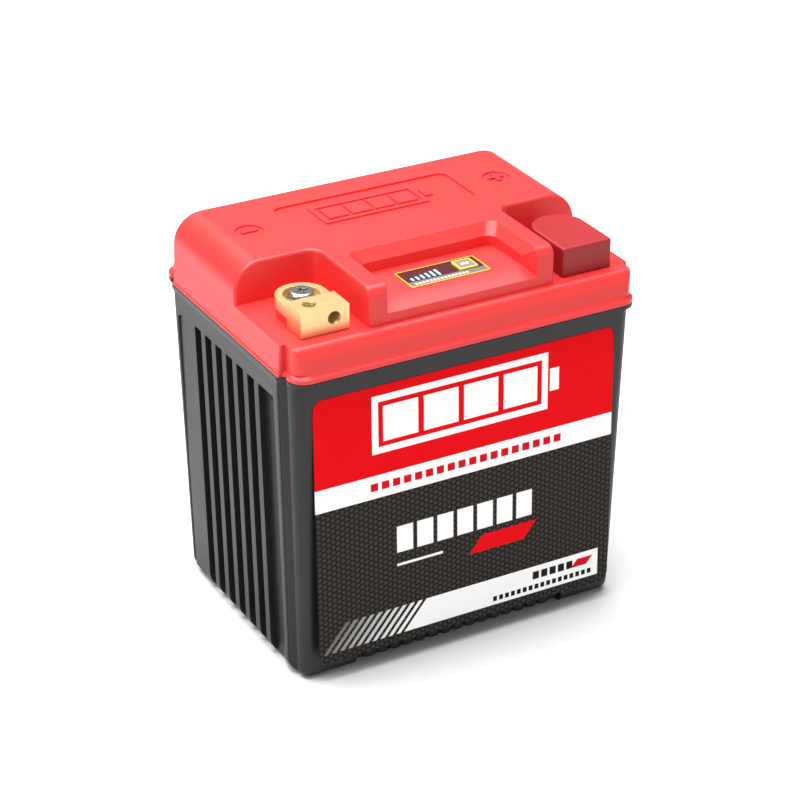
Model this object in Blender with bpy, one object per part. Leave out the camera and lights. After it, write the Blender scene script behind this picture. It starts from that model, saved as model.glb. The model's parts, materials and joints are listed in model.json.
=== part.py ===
"""A 12 V lithium motorcycle battery, built as its separate pieces.

The origin is on the surface the battery stands on, under the middle of the case.
+Z is up, the label faces -Y, and the negative terminal is at -X.
Dimensions are in millimetres and are turned to metres where a mesh is made.
"""

import math

import bmesh
import bpy
from mathutils import Matrix, Vector

MM = 0.001
GAP = 0.3

# Overall plan, at the flange where the case and the lid meet
HALF_X = 83.0
HALF_Y = 63.0
CORNER_STEP = 2.1
CORNER_R = 7.5
NOTCH_Y = 53.2
NOTCH_DEPTH = 3.7
NOTCH_FRONT = 4.0
NOTCH_BACK = 1.9
NOTCH_FOLLOW = 0.45

# Case
SEAM_Z = 144.0
FLANGE_LOW_Z = 142.0
WALL_TOP_Z = 139.6
WALL_INSET_X = 1.1
WALL_INSET_Y = 4.0
DRAFT = 0.0205
BOTTOM_R = 6.0
FOOT_H = 1.6
FOOT_X = 51.3
FOOT_FRONT_Y = -38.0
FOOT_REAR_Y = 34.0
CAVITY_X = 74.5
CAVITY_Y = 53.4
CAVITY_LOW_Y = 48.0
CAVITY_R = 6.0
FLOOR_Z = 4.0
CAVITY_STEP_Z = 12.0

# Ribs on the two ends of the case
GROOVE_COUNT = 7
GROOVE_PITCH = 10.1
GROOVE_MID_Y = -3.2
GROOVE_W = 5.6
GROOVE_DEPTH = 3.1
GROOVE_TOP_Z = 131.9
GROOVE_RUN_OUT = 5.0
REAR_PANEL_Y = (34.2, 48.2)
REAR_PANEL_DEPTH = 1.2

# Hold-down notch along the foot of the front and the rear
HOLD_TOP_Z = 9.0
TOOTH_COUNT = 15
TOOTH_PITCH = 6.21
TOOTH_ROOT_Y = 52.6
TOOTH_TIP_Y = 54.6

# Label film in its shallow recess
LABEL_X = 71.6
LABEL_Z = (9.7, 133.4)
LABEL_R = 4.5
LABEL_T = 0.35
LABEL_RECESS = 0.6

# Lid
LIP_TOP_Z = 146.0
POCKET_Z = 157.85
POCKET_BACK_Y = -8.5
TOP_Z = 175.0
SHOULDER_X = 81.0
SIDE_WALL_X = (82.7, 81.8)
SIDE_WALL_Y = (-51.2, 49.2)
SHOULDER_R = 12.5
BODY_REAR_Y = 49.9
LEDGE_Z = 150.5
BLOCK_X = 43.5
BLOCK_TOP_X = 42.7
BLOCK_FRONT_Y = -54.7
BLOCK_EDGE = 2.5
LID_WALL = 3.0
HOLLOW_TURN_Z = 161.0
HOLLOW_TOP_Z = 171.8
BLOCK_HOLLOW = ((-40.2, -51.4), (40.2, -3.5))
PLATE_RECESS = ((-42.0, 5.0), (42.0, 35.5))
PLATE_RECESS_R = 4.0
PLATE_RECESS_DEPTH = 0.6
MARK_AT = (59.7, 20.0)
MARK_R = 6.0
MARK_DEPTH = 0.5

# Indicator recess in the centre block
RECESS_X = 31.7
RECESS_BACK_Y = -23.4
RECESS_R = 3.0
RECESS_Z = 166.0
RECESS_CHAMFER = 4.5
RECESS_SPREAD = 3.6
RECESS_FRONT_Y = -58.0
MOUTH_BACK_Y = -47.8
LAMP_WINDOW = ((-16.5, -43.6), (3.6, -35.0))
PANEL_X = 18.75
PANEL_Y = (-45.5, -29.8)
PANEL_T = 0.8
PANEL_TOP_Z = 166.3
BUTTON_AT = (11.1, -36.5)
BUTTON_HALF = (4.4, 4.2)
BUTTON_FLANGE = 1.0
BUTTON_TOP_Z = 167.0
BUTTON_TRAVEL = 0.5
BOARD_TOP_Z = 158.6

# Terminals
TERMINAL_X = 61.2
TERMINAL_HALF = 10.8
TERMINAL_FRONT_Y = -51.0
TERMINAL_STEP_Y = -38.0
TERMINAL_TOP_Z = 169.1
TAB_Y = -30.2
TAB_Z = (162.0, 167.1)
TAB_SINK_R = 7.65
TAB_SINK_Z = 164.5
TAPPED_R = 2.6
TOP_HOLE = (64.9, -44.2)
FRONT_HOLE = (57.2, 164.3)
SCREW_R = 2.5
SCREW_HOLE_R = 2.85
SCREW_HEAD_R = 5.4
SCREW_TOP_Z = 168.8
BOSS_R = 10.4
LUG_TOP_Z = 154.6
LUG_T = 1.6

# Cover of the positive terminal
COVER_WALL = 0.8
COVER_IN = 11.2
COVER_Y = -30.0
COVER_FRONT_Y = -52.1
COVER_TOP_Z = 170.9
COVER_CORNER = 1.2

# Cells: four in series, three side by side
CELL_R = 16.1
CELL_H = 70.5
CELL_PITCH = 33.6
CELL_COLUMNS = 4
CELL_ROWS = 3
CELL_Z = 13.6
CELL_SIDES = 20
PLATE_T = 0.4

MATERIALS = {
    "red_abs": ((0.72, 0.022, 0.028), 0.38, 0.0),
    "black_abs": ((0.022, 0.022, 0.023), 0.45, 0.0),
    "soft_red": ((0.42, 0.012, 0.016), 0.5, 0.0),
    "label_film": ((0.70, 0.004, 0.012), 0.4, 0.0),
    "brass": ((0.78, 0.60, 0.30), 0.3, 1.0),
    "steel": ((0.62, 0.61, 0.58), 0.3, 1.0),
    "nickel": ((0.66, 0.65, 0.62), 0.35, 1.0),
    "panel_film": ((0.16, 0.03, 0.035), 0.3, 0.0),
    "button_plastic": ((0.55, 0.50, 0.42), 0.4, 0.0),
    "circuit_board": ((0.02, 0.13, 0.05), 0.5, 0.0),
    "led_resin": ((0.55, 0.85, 0.85), 0.3, 0.0),
    "cell_wrap": ((0.03, 0.16, 0.42), 0.4, 0.0),
    "holder_plastic": ((0.05, 0.05, 0.05), 0.6, 0.0),
    "foam": ((0.06, 0.06, 0.065), 0.9, 0.0),
    "red_silicone": ((0.55, 0.02, 0.02), 0.5, 0.0),
    "black_silicone": ((0.02, 0.02, 0.02), 0.5, 0.0),
    "epoxy": ((0.03, 0.03, 0.03), 0.4, 0.0),
}


def clear_scene():
    for obj in list(bpy.data.objects):
        bpy.data.objects.remove(obj, do_unlink=True)


def material(name):
    found = bpy.data.materials.get(name)
    if found:
        return found
    colour, roughness, metallic = MATERIALS[name]
    made = bpy.data.materials.new(name)
    made.use_nodes = True
    shader = made.node_tree.nodes["Principled BSDF"]
    shader.inputs["Base Color"].default_value = (*colour, 1.0)
    shader.inputs["Roughness"].default_value = roughness
    shader.inputs["Metallic"].default_value = metallic
    return made


# Mesh helpers. Each takes millimetres.


def add_object(name, mesh_data, skin):
    bmesh.ops.recalc_face_normals(mesh_data, faces=mesh_data.faces)
    bmesh.ops.scale(mesh_data, vec=(MM, MM, MM), verts=mesh_data.verts)
    mesh = bpy.data.meshes.new(name)
    mesh_data.to_mesh(mesh)
    mesh_data.free()
    obj = bpy.data.objects.new(name, mesh)
    bpy.context.scene.collection.objects.link(obj)
    if skin:
        mesh.materials.append(material(skin))
    else:
        obj.hide_render = True
        obj.display_type = "WIRE"
    return obj


def add_loft(mesh_data, rings):
    """One closed body through rings of points, each with the same number of points."""
    rows = [[mesh_data.verts.new(point) for point in ring] for ring in rings]
    count = len(rows[0])
    for low, high in zip(rows, rows[1:]):
        for i in range(count):
            j = (i + 1) % count
            mesh_data.faces.new((low[i], low[j], high[j], high[i]))
    mesh_data.faces.new(list(reversed(rows[0])))
    mesh_data.faces.new(rows[-1])


def loft(name, rings, skin=None):
    mesh_data = bmesh.new()
    add_loft(mesh_data, rings)
    return add_object(name, mesh_data, skin)


def level(outline, z):
    return [(x, y, z) for x, y in outline]


def prism(name, outline, low, high, skin=None):
    """An outline in plan, raised from low to high."""
    return loft(name, [level(outline, low), level(outline, high)], skin)


def prism_y(name, outline, front, rear, skin=None):
    """An outline of (x, z) points, carried from front to rear along Y."""
    rings = [[(x, y, z) for x, z in outline] for y in (front, rear)]
    return loft(name, rings, skin)


def boxes(name, spans, skin=None):
    """One mesh of separate boxes, each given by its lowest and highest corner."""
    mesh_data = bmesh.new()
    for (x0, y0, z0), (x1, y1, z1) in spans:
        outline = [(x0, y0), (x1, y0), (x1, y1), (x0, y1)]
        add_loft(mesh_data, [level(outline, z0), level(outline, z1)])
    return add_object(name, mesh_data, skin)


def box(name, low, high, skin=None):
    return boxes(name, [(low, high)], skin)


def circle(x, y, radius, sides=24):
    angles = (2 * math.pi * i / sides for i in range(sides))
    return [(x + radius * math.cos(a), y + radius * math.sin(a)) for a in angles]


def arc(x, y, radius, start, end, steps):
    """Points of an arc, with angles in degrees."""
    angles = (math.radians(start + (end - start) * i / steps) for i in range(steps + 1))
    return [(x + radius * math.cos(a), y + radius * math.sin(a)) for a in angles]


def rounded(x0, y0, x1, y1, radius, steps=4):
    """A rounded rectangle, anticlockwise."""
    return (
        arc(x1 - radius, y1 - radius, radius, 0, 90, steps)
        + arc(x0 + radius, y1 - radius, radius, 90, 180, steps)
        + arc(x0 + radius, y0 + radius, radius, 180, 270, steps)
        + arc(x1 - radius, y0 + radius, radius, 270, 360, steps)
    )


def turned(name, profile, x, y, skin=None, sides=24):
    """A round body about a vertical axis, from (radius, z) points going up."""
    return loft(name, [level(circle(x, y, r, sides), z) for r, z in profile], skin)


def boolean(target, tool, operation):
    step = target.modifiers.new(tool.name, "BOOLEAN")
    step.operation = operation
    step.solver = "EXACT"
    step.object = tool


def cut(target, *tools):
    for tool in tools:
        boolean(target, tool, "DIFFERENCE")


def join(target, *tools):
    for tool in tools:
        boolean(target, tool, "UNION")


def move_origin(obj, x, y, z):
    """Puts the object's origin on its joint's axis, without moving its surface."""
    place = Vector((x, y, z)) * MM
    obj.data.transform(Matrix.Translation(-place))
    obj.location = place


def tube(name, points, radius, skin):
    """A cable along a smooth curve through the given points."""
    curve = bpy.data.curves.new(name, "CURVE")
    curve.dimensions = "3D"
    curve.bevel_depth = radius * MM
    curve.bevel_resolution = 2
    curve.use_fill_caps = True
    path = smooth_path(points, 6)
    spline = curve.splines.new("POLY")
    spline.points.add(len(path) - 1)
    for point, place in zip(spline.points, path):
        point.co = (*(place * MM), 1.0)
    curve.materials.append(material(skin))
    obj = bpy.data.objects.new(name, curve)
    bpy.context.scene.collection.objects.link(obj)
    return obj


def smooth_path(points, steps):
    """A Catmull-Rom curve through points, as steps short pieces between two of them."""
    held = [Vector(p) for p in (points[0], *points, points[-1])]
    path = []
    for a, b, c, d in zip(held, held[1:], held[2:], held[3:]):
        for i in range(steps):
            t = i / steps
            path.append(
                0.5 * (2 * b + (c - a) * t + (2 * a - 5 * b + 4 * c - d) * t * t
                       + (3 * b - a - 3 * c + d) * t ** 3)
            )
    path.append(held[-1])
    return path


# Plan outline of the case and the lid


def plan(inset_x=0.0, inset_y=0.0):
    """The outline with a V notch near each corner, drawn in by the two insets."""
    side = HALF_X - inset_x
    corner = side - CORNER_STEP
    radius = CORNER_R - NOTCH_FOLLOW * inset_y
    turn_y = HALF_Y - inset_y - radius
    notch_y = NOTCH_Y - NOTCH_FOLLOW * inset_y
    quarter = [
        (side, notch_y - NOTCH_FRONT),
        (side - 0.5, notch_y - 0.6 * NOTCH_FRONT),
        (side - 1.7, notch_y - 0.33 * NOTCH_FRONT),
        (side - NOTCH_DEPTH, notch_y),
        (corner, min(notch_y + NOTCH_BACK, turn_y - 0.1)),
    ]
    quarter += arc(corner - radius, turn_y, radius, 0, 90, 5)
    back_right = quarter
    back_left = [(-x, y) for x, y in reversed(quarter)]
    front_left = [(-x, -y) for x, y in quarter]
    front_right = [(x, -y) for x, y in reversed(quarter)]
    return back_right + back_left + front_left + front_right


def wall_inset(z):
    """How far the tapered case wall stands inside the flange at a height, in X and Y."""
    taper = (WALL_TOP_Z - z) * DRAFT
    return WALL_INSET_X + taper, WALL_INSET_Y + taper


# Case


def make_case():
    rings = []
    for i in range(4):
        angle = math.radians(90 * i / 3)
        inset_x, inset_y = wall_inset(BOTTOM_R)
        pull = BOTTOM_R * (1 - math.sin(angle))
        height = BOTTOM_R * (1 - math.cos(angle))
        rings.append(level(plan(inset_x + pull, inset_y + pull), height))
    rings.append(level(plan(*wall_inset(WALL_TOP_Z)), WALL_TOP_Z))
    rings.append(level(plan(), FLANGE_LOW_Z))
    rings.append(level(plan(), SEAM_Z - GAP))
    case = loft("case", rings, "black_abs")
    cut(case, case_cavity(), end_grooves(), rear_panels(), foot_relief())
    cut(case, hold_notch(-1), hold_notch(1), label_recess())


def case_cavity():
    low_x = CAVITY_X - 1
    low = rounded(-low_x, -CAVITY_LOW_Y, low_x, CAVITY_LOW_Y, CAVITY_R)
    high = rounded(-CAVITY_X, -CAVITY_Y, CAVITY_X, CAVITY_Y, CAVITY_R)
    rings = [level(low, FLOOR_Z), level(low, CAVITY_STEP_Z)]
    rings += [level(high, CAVITY_STEP_Z), level(high, SEAM_Z + 1)]
    return loft("cut_case_cavity", rings)


def wall_x(z):
    return HALF_X - wall_inset(z)[0]


def wall_y(z):
    return HALF_Y - wall_inset(z)[1]


def end_grooves():
    """Upright grooves, whose floors follow the taper and run out at the top."""
    run_out_z = GROOVE_TOP_Z - GROOVE_RUN_OUT
    mesh_data = bmesh.new()
    for side in (-1, 1):
        profile = [
            (wall_x(0) + 3, -1),
            (wall_x(0) - GROOVE_DEPTH, -1),
            (wall_x(run_out_z) - GROOVE_DEPTH, run_out_z),
            (wall_x(GROOVE_TOP_Z), GROOVE_TOP_Z),
            (wall_x(GROOVE_TOP_Z) + 3, GROOVE_TOP_Z),
        ]
        for k in range(GROOVE_COUNT):
            y = GROOVE_MID_Y + GROOVE_PITCH * (k - (GROOVE_COUNT - 1) / 2)
            faces = (y - GROOVE_W / 2, y + GROOVE_W / 2)
            add_loft(mesh_data, [[(side * x, at, z) for x, z in profile] for at in faces])
    return add_object("cut_end_grooves", mesh_data, None)


def rear_panels():
    """The wide shallow panel in the rear post of each end."""
    mesh_data = bmesh.new()
    for side in (-1, 1):
        profile = [
            (wall_x(0) + 3, -2),
            (wall_x(0) - REAR_PANEL_DEPTH, -2),
            (wall_x(GROOVE_TOP_Z - 2) - REAR_PANEL_DEPTH, GROOVE_TOP_Z - 2),
            (wall_x(GROOVE_TOP_Z) + 3, GROOVE_TOP_Z),
        ]
        rings = [[(side * x, y, z) for x, z in profile] for y in REAR_PANEL_Y]
        add_loft(mesh_data, rings)
    return add_object("cut_rear_panels", mesh_data, None)


def foot_relief():
    """Lifts the underside between the four corner feet."""
    outline = [
        (-90, FOOT_FRONT_Y), (-FOOT_X, FOOT_FRONT_Y), (-FOOT_X, -70), (FOOT_X, -70),
        (FOOT_X, FOOT_FRONT_Y), (90, FOOT_FRONT_Y), (90, FOOT_REAR_Y),
        (FOOT_X, FOOT_REAR_Y), (FOOT_X, 70), (-FOOT_X, 70),
        (-FOOT_X, FOOT_REAR_Y), (-90, FOOT_REAR_Y),
    ]
    return prism("cut_foot_relief", outline, -3, FOOT_H)


def hold_notch(side):
    """A step for a clamp bar. Its back is a row of upright half-round teeth."""
    reach = FOOT_X - 0.05
    edge = [(-reach, side * 70), (-reach, side * TOOTH_ROOT_Y)]
    first = -TOOTH_PITCH * TOOTH_COUNT / 2
    bow = TOOTH_TIP_Y - TOOTH_ROOT_Y
    for k in range(TOOTH_COUNT):
        for i in range(4):
            t = i / 4
            x = first + TOOTH_PITCH * (k + t)
            edge.append((x, side * (TOOTH_ROOT_Y + bow * math.sin(math.pi * t))))
    edge += [(-first, side * TOOTH_ROOT_Y), (reach, side * TOOTH_ROOT_Y), (reach, side * 70)]
    name = "cut_hold_front" if side < 0 else "cut_hold_rear"
    return prism(name, edge, -4, HOLD_TOP_Z)


def label_rings(inner, outer, grow):
    """The label's outline at two distances from the tapered front wall."""
    low, high = LABEL_Z
    outline = rounded(
        -LABEL_X - grow, low - grow, LABEL_X + grow, high + grow, LABEL_R + grow
    )
    return [[(x, -wall_y(z) + off, z) for x, z in outline] for off in (inner, outer)]


def label_recess():
    return loft("cut_label", label_rings(LABEL_RECESS, -2.0, GAP))


def make_label():
    floor = LABEL_RECESS - GAP / 2
    loft("front_label", label_rings(floor, floor - LABEL_T, 0.0), "label_film")


# Lid


def make_lid():
    steps = [
        (SEAM_Z, 0.0, 0.0),
        (LIP_TOP_Z - 0.5, 0.0, 0.0),
        (LIP_TOP_Z, 0.5, 0.5),
        (LIP_TOP_Z + 0.6, 1.6, 1.6),
        (LIP_TOP_Z + 2.5, 2.0, 2.0),
        (151.8, 2.0, 2.7),
        (154.6, 2.0, 4.2),
        (156.6, 2.0, 6.0),
        (POCKET_Z, 2.0, 7.6),
    ]
    rings = [level(plan(dx, dy), z) for z, dx, dy in steps]
    lid = loft("lid", rings, "red_abs")
    cut(lid, box("cut_rear_ledge", (-90, 50, LEDGE_Z), (90, 70, 180)))
    join(lid, side_walls(), upper_body(), centre_block(), boss(-1), boss(1))
    cut(lid, lid_hollow(), block_hollow(), display_recess(), display_openings())
    cut(lid, top_plate(), mark_circles(), screw_holes())
    join(lid, mark_signs())


def side_walls():
    """The plain outer faces of the two ends, which lean in a little to the pocket floor."""
    low_x, high_x = SIDE_WALL_X
    low, high = LIP_TOP_Z - 0.3, POCKET_Z - 0.03
    outline = [(-low_x, low), (low_x, low), (high_x, high), (-high_x, high)]
    return prism_y("add_side_walls", outline, *SIDE_WALL_Y)


def upper_body():
    """The tall rear part, whose long edges are rounded over the full shoulder radius."""
    low = POCKET_Z - 6
    turn = SHOULDER_X - SHOULDER_R
    right = arc(turn, TOP_Z - SHOULDER_R, SHOULDER_R, 0, 90, 7)
    foot = SIDE_WALL_X[1] - 0.1
    outline = [(foot, low), (foot, POCKET_Z)] + right
    outline += [(-x, z) for x, z in reversed(right)] + [(-foot, POCKET_Z), (-foot, low)]
    return prism_y("add_upper_body", outline, POCKET_BACK_Y, BODY_REAR_Y)


def centre_block():
    """The block between the two terminals, with its long top edges rounded."""
    low = POCKET_Z - 6
    right = arc(BLOCK_TOP_X - BLOCK_EDGE, TOP_Z - BLOCK_EDGE - 0.02, BLOCK_EDGE, 0, 90, 3)
    outline = [(BLOCK_X, low), (BLOCK_X, POCKET_Z)] + right
    outline += [(-x, z) for x, z in reversed(right)]
    outline += [(-BLOCK_X, POCKET_Z), (-BLOCK_X, low)]
    return prism_y("add_centre_block", outline, BLOCK_FRONT_Y, POCKET_BACK_Y + 4)


def boss(side):
    """The pad that the terminal's tab rests on, round at the back."""
    name = "add_boss_left" if side < 0 else "add_boss_right"
    x = side * TERMINAL_X
    front = TERMINAL_STEP_Y + GAP
    outline = arc(x, TAB_Y, BOSS_R, 0, 180, 14) + [(x - BOSS_R, front), (x + BOSS_R, front)]
    return prism(name, outline, POCKET_Z - 2, TAB_Z[0] - GAP)


def lid_hollow():
    """The room under the lid: a wide low part and a narrower high part at the rear."""
    low, ceiling = SEAM_Z - 1, POCKET_Z - LID_WALL
    front, rear = -52.0, BODY_REAR_Y - LID_WALL - 0.4
    back = POCKET_BACK_Y + LID_WALL
    wide, narrow = SHOULDER_X - 3.8, SHOULDER_X - SHOULDER_R - 2
    hollow = prism("cut_lid_low", rounded(-wide, front, wide, rear, 5), low, ceiling)
    outline = [(-wide, ceiling - 1), (wide, ceiling - 1), (wide, HOLLOW_TURN_Z)]
    outline += [(narrow, HOLLOW_TOP_Z), (-narrow, HOLLOW_TOP_Z), (-wide, HOLLOW_TURN_Z)]
    join(hollow, prism_y("cut_lid_high", outline, back, rear - 0.3))
    return hollow


def block_hollow():
    front_left, rear_right = BLOCK_HOLLOW
    low, high = SEAM_Z + 3, RECESS_Z - 3.6
    return box("cut_block_hollow", (*front_left, low), (*rear_right, high))


def recess_outline(grow):
    """The U of the indicator recess, open at the front."""
    half = RECESS_X + grow
    back = RECESS_BACK_Y + grow
    radius = RECESS_R + 0.3 * grow
    left = arc(-half + radius, back - radius, radius, 90, 180, 4)
    right = arc(half - radius, back - radius, radius, 0, 90, 4)
    return [(half, RECESS_FRONT_Y)] + right + left + [(-half, RECESS_FRONT_Y)]


def display_recess():
    chamfer_z = TOP_Z - RECESS_CHAMFER
    inner = recess_outline(0.0)
    rings = [level(inner, RECESS_Z), level(inner, chamfer_z)]
    rings.append(level(recess_outline(RECESS_SPREAD), TOP_Z))
    rings.append(level(recess_outline(RECESS_SPREAD), TOP_Z + 2))
    recess = loft("cut_display_recess", rings)
    join(recess, front_flare())
    return recess


def front_flare():
    """Slopes the recess floor down and its sides out towards the front of the block."""
    inner, outer = RECESS_X, RECESS_X + RECESS_SPREAD
    low, high = RECESS_Z - RECESS_SPREAD, TOP_Z + 1
    front_y = BLOCK_FRONT_Y - 0.5
    back_ring = [(-inner, MOUTH_BACK_Y, RECESS_Z), (inner, MOUTH_BACK_Y, RECESS_Z)]
    back_ring += [(inner, MOUTH_BACK_Y, high), (-inner, MOUTH_BACK_Y, high)]
    front_ring = [(-outer, front_y, low), (outer, front_y, low)]
    front_ring += [(outer, front_y, high), (-outer, front_y, high)]
    return loft("cut_front_flare", [front_ring, back_ring])


def button_box(grow, low, high):
    x, y = BUTTON_AT
    half_x, half_y = BUTTON_HALF[0] + grow, BUTTON_HALF[1] + grow
    return ((x - half_x, y - half_y, low), (x + half_x, y + half_y, high))


def display_openings():
    """Seat of the panel, room for the button's flange, its stem, and the lamp window."""
    seat_z = PANEL_TOP_Z - PANEL_T - GAP
    flange_z = seat_z - 1.7
    front, rear = PANEL_Y
    seat = ((-PANEL_X - GAP, front - GAP, seat_z), (PANEL_X + GAP, rear + GAP, TOP_Z))
    tool = box("cut_panel_seat", *seat)
    join(tool, box("cut_button_seat", *button_box(BUTTON_FLANGE + 0.4, flange_z, seat_z + 0.1)))
    join(tool, turned("cut_button_stem", [(2.6, 160), (2.6, flange_z + 0.1)], *BUTTON_AT))
    near, far = LAMP_WINDOW
    join(tool, box("cut_lamp_window", (*near, 160), (*far, seat_z + 0.1)))
    return tool


def top_plate():
    outline = rounded(*PLATE_RECESS[0], *PLATE_RECESS[1], PLATE_RECESS_R)
    return prism("cut_top_plate", outline, TOP_Z - PLATE_RECESS_DEPTH, TOP_Z + 1)


def mark_circles():
    x, y = MARK_AT
    mesh_data = bmesh.new()
    for side in (-1, 1):
        ring = circle(side * x, y, MARK_R, 28)
        add_loft(mesh_data, [level(ring, TOP_Z - MARK_DEPTH), level(ring, TOP_Z + 1)])
    return add_object("cut_marks", mesh_data, None)


def mark_signs():
    """The raised minus and plus in the two circles."""
    x, y = MARK_AT
    low, high = TOP_Z - MARK_DEPTH - 0.4, TOP_Z - 0.05
    signs = boxes("add_minus", [((-x - 3.6, y - 0.9, low), (-x + 3.6, y + 0.9, high))])
    join(signs, box("add_plus_a", (x - 3.6, y - 0.9, low), (x + 3.6, y + 0.9, high)))
    join(signs, box("add_plus_b", (x - 0.9, y - 3.6, low), (x + 0.9, y + 3.6, high)))
    return signs


def screw_holes():
    mesh_data = bmesh.new()
    for side in (-1, 1):
        ring = circle(side * TERMINAL_X, TAB_Y, SCREW_HOLE_R, 16)
        add_loft(mesh_data, [level(ring, SEAM_Z), level(ring, TOP_Z)])
    return add_object("cut_screw_holes", mesh_data, None)


# Terminals and what holds them


def make_terminal(name, side):
    """A brass block with a lower round tab behind it, sunk for the screw head."""
    x0, x1 = (side * TERMINAL_X - TERMINAL_HALF, side * TERMINAL_X + TERMINAL_HALF)
    low = POCKET_Z + GAP
    terminal = box(
        name, (x0, TERMINAL_FRONT_Y, low), (x1, TERMINAL_STEP_Y, TERMINAL_TOP_Z), "brass"
    )
    tab = arc(side * TERMINAL_X, TAB_Y, TERMINAL_HALF - 0.01, 0, 180, 16)
    tab += [(x0 + 0.01, TERMINAL_STEP_Y - 1), (x1 - 0.01, TERMINAL_STEP_Y - 1)]
    join(terminal, prism("add_tab_" + name, tab, *TAB_Z))
    x = side * TERMINAL_X
    sink = turned("cut_sink_" + name, [(TAB_SINK_R, TAB_SINK_Z), (TAB_SINK_R, 180)], x, TAB_Y)
    bore = screw_bore("cut_bore_" + name, x, 155, 180)
    top_x, top_y = side * TOP_HOLE[0], TOP_HOLE[1]
    tapped = [(TAPPED_R, TERMINAL_TOP_Z - 9), (TAPPED_R, TERMINAL_TOP_Z - 0.6)]
    tapped += [(TAPPED_R + 0.8, TERMINAL_TOP_Z + 0.2)]
    top_hole = turned("cut_top_" + name, tapped, top_x, top_y, None, 20)
    front = circle(side * FRONT_HOLE[0], FRONT_HOLE[1], TAPPED_R, 20)
    front_hole = prism_y("cut_front_" + name, front, TERMINAL_FRONT_Y - 1, TERMINAL_FRONT_Y + 10)
    clear_sink = box(
        "keep_block_" + name, (x0 - 1, TERMINAL_FRONT_Y - 1, 150), (x1 + 1, TERMINAL_STEP_Y, 185)
    )
    cut(sink, clear_sink)
    cut(terminal, sink, bore, top_hole, front_hole)
    round_edges(terminal, 0.5, 35)


def screw_bore(name, x, low, high):
    return turned(name, [(SCREW_HOLE_R, low), (SCREW_HOLE_R, high)], x, TAB_Y, None, 16)


def round_edges(obj, width, angle):
    step = obj.modifiers.new("edges", "BEVEL")
    step.width = width * MM
    step.segments = 1
    step.limit_method = "ANGLE"
    step.angle_limit = math.radians(angle)


def make_terminal_screw(name, side):
    """A flanged pan head with a cross recess, and its shank down to the nut."""
    x = side * TERMINAL_X
    seat = TAB_SINK_Z + GAP
    profile = [
        (SCREW_R, LUG_TOP_Z - 7.5),
        (SCREW_R, seat),
        (SCREW_HEAD_R + 0.7, seat),
        (SCREW_HEAD_R + 0.7, seat + 0.9),
        (SCREW_HEAD_R, seat + 1.1),
        (SCREW_HEAD_R, SCREW_TOP_Z - 1.0),
        (SCREW_HEAD_R - 1.2, SCREW_TOP_Z - 0.1),
        (1.0, SCREW_TOP_Z),
    ]
    screw = turned(name, profile, x, TAB_Y, "steel", 20)
    low, high = SCREW_TOP_Z - 2.2, SCREW_TOP_Z + 1
    cross = box("cut_cross_" + name, (x - 2.9, TAB_Y - 0.6, low), (x + 2.9, TAB_Y + 0.6, high))
    arm_low, arm_high = (x - 0.6, TAB_Y - 2.9, low - 0.01), (x + 0.6, TAB_Y + 2.9, high + 0.1)
    arm = box("cut_cross2_" + name, arm_low, arm_high)
    join(cross, arm)
    cut(screw, cross)


def make_lug(name, side):
    """The flat ring lug under the lid, with a flat tail that points to the middle."""
    x = side * TERMINAL_X
    z0, z1 = LUG_TOP_Z - LUG_T, LUG_TOP_Z
    lug = turned(name, [(5.6, z0), (5.6, z1)], x, TAB_Y, "nickel", 20)
    tail_x = sorted((x - side * 3.5, x - side * 14))
    tail_low = (tail_x[0], TAB_Y - 3.4, z0 + 0.02)
    join(lug, box("add_tail_" + name, tail_low, (tail_x[1], TAB_Y + 3.4, z1 - 0.02)))
    cut(lug, screw_bore("cut_lug_" + name, x, 140, 170))


def make_nut(name, side):
    x = side * TERMINAL_X
    top = LUG_TOP_Z - LUG_T - GAP
    nut = turned(name, [(4.6, top - 4.0), (4.6, top)], x, TAB_Y, "steel", 6)
    cut(nut, screw_bore("cut_nut_" + name, x, 140, 170))


def cover_outline(half, front, corner):
    """The D in plan: a half circle at the back and small round corners at the front."""
    x = TERMINAL_X
    back = arc(x, COVER_Y, half, 0, 180, 14)
    left = arc(x - half + corner, front + corner, corner, 180, 270, 3)
    right = arc(x + half - corner, front + corner, corner, 270, 360, 3)
    return back + left + right


def make_cover():
    """The soft cap over the positive terminal, open at the bottom."""
    low = POCKET_Z + GAP
    half = COVER_IN + COVER_WALL
    edge = 1.0
    rings = [
        level(cover_outline(half, COVER_FRONT_Y, COVER_CORNER), low),
        level(cover_outline(half, COVER_FRONT_Y, COVER_CORNER), COVER_TOP_Z - edge),
        level(cover_outline(half - 0.3, COVER_FRONT_Y + 0.3, COVER_CORNER), COVER_TOP_Z - 0.3),
        level(cover_outline(half - edge, COVER_FRONT_Y + edge, COVER_CORNER), COVER_TOP_Z),
    ]
    cover = loft("positive_terminal_cover", rings, "soft_red")
    inner = cover_outline(COVER_IN, COVER_FRONT_Y + COVER_WALL, COVER_CORNER - COVER_WALL)
    cut(cover, prism("cut_cover", inner, low - 1, TERMINAL_TOP_Z + 0.4))
    move_origin(cover, TERMINAL_X, COVER_Y, low)


# Indicator under the front of the lid


def make_panel():
    low, high = PANEL_TOP_Z - PANEL_T, PANEL_TOP_Z
    panel = prism(
        "indicator_panel", rounded(-PANEL_X, PANEL_Y[0], PANEL_X, PANEL_Y[1], 0.8, 2), low, high,
        "panel_film",
    )
    cut(panel, box("cut_panel", *button_box(GAP, low - 1, high + 1)))


def make_button():
    """A square cap with a flange that the panel holds down, and a stem to the switch."""
    flange_top = PANEL_TOP_Z - PANEL_T - GAP
    flange_low = flange_top - 0.8
    x, y = BUTTON_AT
    button = box("test_button", *button_box(0.0, flange_low + 0.1, BUTTON_TOP_Z), "button_plastic")
    join(button, box("add_button_flange", *button_box(BUTTON_FLANGE, flange_low, flange_top)))
    join(button, turned("add_button_stem", [(2.0, 162.4), (2.0, flange_low + 0.4)], x, y, None, 12))
    move_origin(button, x, y, BUTTON_TOP_Z)


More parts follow.
